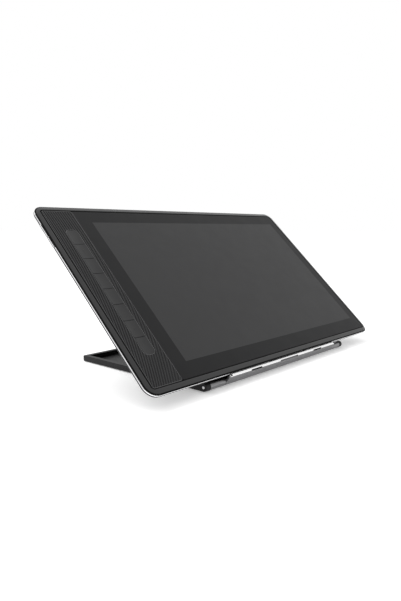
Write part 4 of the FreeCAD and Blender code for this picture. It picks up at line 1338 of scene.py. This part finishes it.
@dataclass
class Hinge:
    """The sleeves and washers on the pin.

    Attributes:
        chamfer: the chamfer of their outer edges.
    """

    chamfer: float = 0.3

    def build(self) -> None:
        """Makes a sleeve and a washer on each side."""
        bore = TABLE.box("hinge_pin").size.z / 2
        for side in ("left", "right"):
            for kind, finish in (("sleeve", HINGE_METAL), ("washer", NYLON)):
                node = f"{side}_{kind}"
                box = TABLE.box(node)
                shape = Shape().tube(box.middle, box.size.z / 2, bore, box.size.x, self.chamfer)
                shape.piece(f"{node}_ring", TABLE, "base", finish, replaces=[node])


@dataclass
class RestBar:
    """The hinge tube with the lip that the tablet stands on.

    Attributes:
        tube: radius of the hinge tube.
        tube_tip: chamfer of its ends.
        bore: radius of its bore.
        lip_out: the y of the lip's outer face.
        lip_in: the y of its inner face.
        lip_corner: rounding of the lip's two ends.
        edge: rounding of the lip's edges.
        highlight_facing: the upward part of a normal from which the lip's top is painted bright as a painted
            highlight.
        slot_deep: height of the slots in its top edge.
        slot_sunk: how far the slots are cut in.
        slot_across: how far the two outer slots lie from the middle.
        slot_long: their length.
        mid_slot_long: length of the middle one.
        tongue_end: how far the tongue under the plate starts from the bar's ends.
        tongue_start: the y of its front.
        tongue_thick: its thickness.
        tongue_corner: radius of its corners.
        grip_edge: rounding of the soft strips.
        plug_edge: chamfer of the round caps.
    """

    tube: float = 4.25
    tube_tip: float = 0.2
    bore: float = 1.55
    lip_out: float = -3.0
    lip_in: float = 0.3
    lip_corner: float = 3.5
    edge: float = 0.9
    highlight_facing: float = 0.3
    slot_deep: float = 1.8
    slot_sunk: float = 1.0
    slot_across: float = 65.0
    slot_long: float = 19.5
    mid_slot_long: float = 37.4
    tongue_end: float = 12.0
    tongue_start: float = 3.2
    tongue_thick: float = 1.5
    tongue_corner: float = 3.0
    grip_edge: float = 0.08
    plug_edge: float = 0.2

    def build(self) -> None:
        """Makes the bar, its grips and its plugs."""
        self.bar()
        self.grips()
        self.plugs()

    def bar(self) -> None:
        """Tube, lip and tongue as one solid, cut for the slots, grips, plugs and screws."""
        box = FACE.box("rest_bar")
        top = box.high.z
        axis = (box.middle.x, 0.0, 0.0)
        shape = self.lip(box)
        shape.join(Shape().rod(Axis.X, axis, self.tube, box.size.x, self.tube_tip))
        under = FACE.box("support_screws").low.z
        tongue = Box(Vector((box.low.x + self.tongue_end, self.tongue_start, under)),
                     Vector((box.high.x - self.tongue_end, box.high.y, under + self.tongue_thick)))
        shape.join(Shape().slab(tongue, self.tongue_corner))
        cuts = Shape().rod(Axis.X, axis, self.bore, box.size.x + OVERSHOOT)
        left, middle, right = self.slots(box)
        for slot in (left, middle, right):
            cuts.slab(slot, self.slot_sunk / 2, Axis.Y)
        for grip in FACE.solids("rest_pads"):
            cuts.block(grip)
        for plug in FACE.solids("rest_plugs"):
            raised = plug.middle + Vector((0.0, 0.0, OVERSHOOT / 2))
            cuts.rod(Axis.Z, raised, plug.size.x / 2, plug.size.z + OVERSHOOT)
        for bolt in FACE.solids("support_screws"):
            cuts.rod(Axis.Z, bolt.middle, bolt.size.x / 2, bolt.size.z)
        shape.carve(cuts)
        # the lip's top is painted bright as a painted highlight
        shape.paint(1, lambda face: face.calc_center_median().z > top - self.edge
                    and face.normal.z > self.highlight_facing)
        # the two outer slots are painted near-black as painted shade in their recesses
        black = [slot.shrunk(-TOUCH, -TOUCH, -TOUCH) for slot in (left, right)]
        shape.paint(2, lambda face: any(slot.holds(face.calc_center_median()) for slot in black))
        shape.piece("lip_bar", FACE, "support", HINGE_METAL, LIP_HIGHLIGHT, SHADE_BLACK, replaces=["rest_bar"])

    def lip(self, box: Box) -> Shape:
        """The lip, rounded at its two upper ends.

        Args:
            box: the bar's box.

        Returns:
            The shape, which ends inside the tube's chamfers.
        """
        inset = self.tube_tip / 2
        lip = Box(Vector((box.low.x + inset, self.lip_out, 0.0)),
                  Vector((box.high.x - inset, self.lip_in, box.high.z)))
        shape = Shape().block(lip)
        shape.soften(self.lip_corner, shape.corner_steps, lambda edge: lowest(edge) > box.high.z - TOUCH
                     and abs(edge.verts[0].co.x - edge.verts[1].co.x) < TOUCH)
        return shape.soften(self.edge, chosen=lambda edge: lowest(edge) > TOUCH)

    def slots(self, box: Box) -> list[Box]:
        """The three slots in the lip's outer upper edge.

        Args:
            box: the bar's box.

        Returns:
            What each slot takes away, from the left.
        """
        taken = []
        for place, long in ((-self.slot_across, self.slot_long), (0.0, self.mid_slot_long),
                            (self.slot_across, self.slot_long)):
            centre = box.middle.x + place
            low = Vector((centre - long / 2, self.lip_out - OVERSHOOT, box.high.z - self.slot_deep))
            high = Vector((centre + long / 2, self.lip_out + self.slot_sunk, box.high.z + OVERSHOOT))
            taken.append(Box(low, high))
        return taken

    def grips(self) -> None:
        """The soft strips in the lip's inner face."""
        shape = Shape()
        for grip in FACE.solids("rest_pads"):
            shape.block(grip)
        shape.soften(self.grip_edge, 2)
        shape.piece("lip_grips", FACE, "support", RUBBER, replaces=["rest_pads"])

    def plugs(self) -> None:
        """The round caps in the lip's ends."""
        shape = Shape()
        for plug in FACE.solids("rest_plugs"):
            shape.rod(Axis.Z, plug.middle, plug.size.x / 2, plug.size.z, self.plug_edge)
        shape.piece("lip_plugs", FACE, "support", NYLON, replaces=["rest_plugs"])


@dataclass
class Support:
    """The plate behind the tablet with its cushions, and the strut that props it up.

    Attributes:
        corner: radius of the plate's corners.
        edge: rounding of its edges.
        plate_thick: its thickness.
        lug_thick: thickness of the lugs under it.
        head_thick: height of a screw's head.
        hex_socket: radius of the head's socket.
        cushion_corner: radius of a cushion's corners.
        knuckle: radius of the strut's rolled edge.
        strut_thick: thickness of the strut.
        rod_tip: chamfer of the axle, the rolled edge and the rubber foot.
    """

    corner: float = 8.0
    edge: float = 0.5
    plate_thick: float = 2.0
    lug_thick: float = 3.0
    head_thick: float = 0.9
    hex_socket: float = 1.1
    cushion_corner: float = 2.5
    knuckle: float = 1.4
    strut_thick: float = 1.6
    rod_tip: float = 0.2

    def build(self) -> None:
        """Makes the plate, its fasteners and the strut."""
        self.plate()
        self.cushions()
        self.screws()
        self.strut()

    def plate(self) -> None:
        """The plate with two lugs, and the axle in them that the strut turns on."""
        box, pin = FACE.box("support_plate"), FACE.box("strut_pin")
        sheet = Box(Vector((box.low.x, box.low.y, box.high.z - self.plate_thick)), box.high)
        shape = Shape().slab(sheet, self.corner).soften(self.edge)
        reach = pin.size.z + self.strut_thick
        for left in (pin.low.x, pin.high.x - self.lug_thick):
            lug = Box(Vector((left, pin.middle.y - reach, box.low.z)),
                      Vector((left + self.lug_thick, pin.middle.y + reach, sheet.low.z + self.edge)))
            shape.join(Shape().slab(lug, self.edge, Axis.X))
        shape.carve(Shape().rod(Axis.X, pin.middle, pin.size.z / 2, pin.size.x + OVERSHOOT))
        shape.piece("back_plate", FACE, "support", STAND, replaces=["support_plate"])
        axle = Shape().rod(Axis.X, pin.middle, pin.size.z / 2, pin.size.x, self.rod_tip)
        axle.piece("strut_axle", FACE, "support", STEEL, replaces=["strut_pin"])

    def cushions(self) -> None:
        """The soft pads that the tablet leans on."""
        shape = Shape()
        half_high = FACE.box("support_pads").middle.z
        for pad in FACE.solids("support_pads"):
            shape.slab(pad, self.cushion_corner)
        shape.soften(self.edge / 2, chosen=lambda edge: lowest(edge) > half_high)
        shape.piece("back_cushions", FACE, "support", RUBBER, replaces=["support_pads"])

    def screws(self) -> None:
        """The screws that hold the bar's tongue to the plate, seen from below."""
        boxes = FACE.solids("support_screws")
        radius = boxes[0].size.x / 2
        screws = SocketScrew(self.head_thick, radius, radius / 2, self.hex_socket).shape(boxes)
        screws.piece("plate_screws", FACE, "support", SCREW, replaces=["support_screws"])

    def strut(self) -> None:
        """The flap with its rolled edge, and the rubber foot on its end."""
        box, foot = STRUT.box("strut_panel"), STRUT.box("strut_foot")
        half = self.strut_thick / 2
        axis, bore = (box.middle.x, 0.0, 0.0), FACE.box("strut_pin").size.z / 2
        flap = Box(Vector((box.low.x, 0.0, -half)), Vector((box.high.x, box.high.y, half)))
        shape = Shape().block(flap).soften(half / 4, 2)
        shape.join(Shape().rod(Axis.X, axis, self.knuckle, box.size.x, self.rod_tip))
        shape.carve(Shape().rod(Axis.X, axis, bore, box.size.x + OVERSHOOT))
        shape.piece("flap", STRUT, "strut", STAND, replaces=["strut_panel"])
        rubber = Shape().rod(Axis.X, foot.middle, foot.size.z / 2, foot.size.x, self.rod_tip)
        groove = Box(Vector((foot.low.x - OVERSHOOT, foot.low.y - OVERSHOOT, -half)),
                     Vector((foot.high.x + OVERSHOOT, box.high.y, half)))
        rubber.carve(Shape().block(groove))
        rubber.piece("flap_foot", STRUT, "strut", RUBBER, replaces=["strut_foot"])


# The studio


@dataclass(frozen=True)
class Studio:
    """The floor, the light and the camera.

    Attributes:
        azimuth: the camera's bearing round the object, in degrees.
        elevation: its height above the horizon, in degrees.
        distance: its distance from the aim, in metres.
        aim: the point it looks at.
        lens: its focal length, in millimetres.
        sensor: its sensor's width, in millimetres.
        nearest: where its view starts, in metres.
        floor_half: half the floor's side, in metres.
        floor_tone: how light the floor is.
        floor_glow: how strongly it shines by itself, which keeps the shadow faint.
        world: strength of the white world.
        lamp_size: side of the lamp overhead, in metres.
        lamp_power: its power, in watts.
        lamp_place: its place.
    """

    azimuth: float = -48.5
    elevation: float = 7.45
    distance: float = 0.698
    aim: Point = (-0.0179, 0.0166, 0.0715)
    lens: float = 32.84
    sensor: float = 36.0
    nearest: float = 0.01
    floor_half: float = 30.0
    floor_tone: float = 0.9
    floor_glow: float = 0.22
    world: float = 1.0
    lamp_size: float = 1.2
    lamp_power: float = 20.0
    lamp_place: Point = (-0.5, 0.9, 1.5)

    def build(self) -> None:
        """Makes the floor, the lights and the camera."""
        self.floor()
        self.lights()
        self.camera()

    def floor(self) -> None:
        """A pale matt floor."""
        mesh = bmesh.new()
        bmesh.ops.create_grid(mesh, x_segments=1, y_segments=1, size=self.floor_half)
        data = bpy.data.meshes.new("floor")
        mesh.to_mesh(data)
        mesh.free()
        floor = bpy.data.objects.new("floor", data)
        bpy.context.scene.collection.objects.link(floor)
        paper = bpy.data.materials.new("floor_paper")
        paper.use_nodes = True
        shader = NodeTree(paper.node_tree).shader
        shader.inputs["Base Color"].default_value = (*[self.floor_tone] * 3, 1.0)
        shader.inputs["Roughness"].default_value = 1.0
        shader.inputs["Specular IOR Level"].default_value = 0.0
        shader.inputs["Emission Color"].default_value = (1.0, 1.0, 1.0, 1.0)
        shader.inputs["Emission Strength"].default_value = self.floor_glow
        data.materials.append(paper)

    def lights(self) -> None:
        """An even white world with one large soft lamp overhead."""
        world = bpy.data.worlds.new("studio")
        world.use_nodes = True
        background = world.node_tree.nodes["Background"]
        background.inputs["Color"].default_value = (1.0, 1.0, 1.0, 1.0)
        background.inputs["Strength"].default_value = self.world
        bpy.context.scene.world = world
        lamp = bpy.data.lights.new("overhead", "AREA")
        lamp.size, lamp.energy = self.lamp_size, self.lamp_power
        holder = bpy.data.objects.new("overhead", lamp)
        holder.location = self.lamp_place
        holder.rotation_mode = "QUATERNION"
        holder.rotation_quaternion = (-Vector(self.lamp_place)).to_track_quat("-Z", "Y")
        bpy.context.scene.collection.objects.link(holder)

    def camera(self) -> None:
        """The camera, level and without shift."""
        turn, rise = math.radians(self.azimuth), math.radians(self.elevation)
        back = Vector((math.sin(turn) * math.cos(rise), -math.cos(turn) * math.cos(rise), math.sin(rise)))
        data = bpy.data.cameras.new("camera")
        data.lens, data.sensor_width = self.lens, self.sensor
        data.clip_start = self.nearest
        camera = bpy.data.objects.new("camera", data)
        camera.location = Vector(self.aim) + back * self.distance
        camera.rotation_mode = "QUATERNION"
        camera.rotation_quaternion = (-back).to_track_quat("-Z", "Y")
        bpy.context.scene.collection.objects.link(camera)
        bpy.context.scene.camera = camera
        bpy.context.scene.view_settings.view_transform = "Standard"


def dress_nodes() -> None:
    """Gives every CAD node its slot's finish."""
    for part in frame["record"]["subparts"]:
        data = frame["nodes"][part["node"]].data
        data.materials.clear()
        data.materials.append(BY_SLOT[part["material_slot"]].material())


def main() -> None:
    """Builds the object and the studio round it."""
    logging.basicConfig(level=logging.INFO, format="%(name)s: %(message)s")
    Studio().build()
    dress_nodes()
    for assembly in (Casing, Screen, KeyStrip, SideKeys, Sockets, Base, Hinge, RestBar, Support):
        LOG.info("building %s", assembly.__name__)
        assembly().build()


if __name__ == "__main__":
    main()
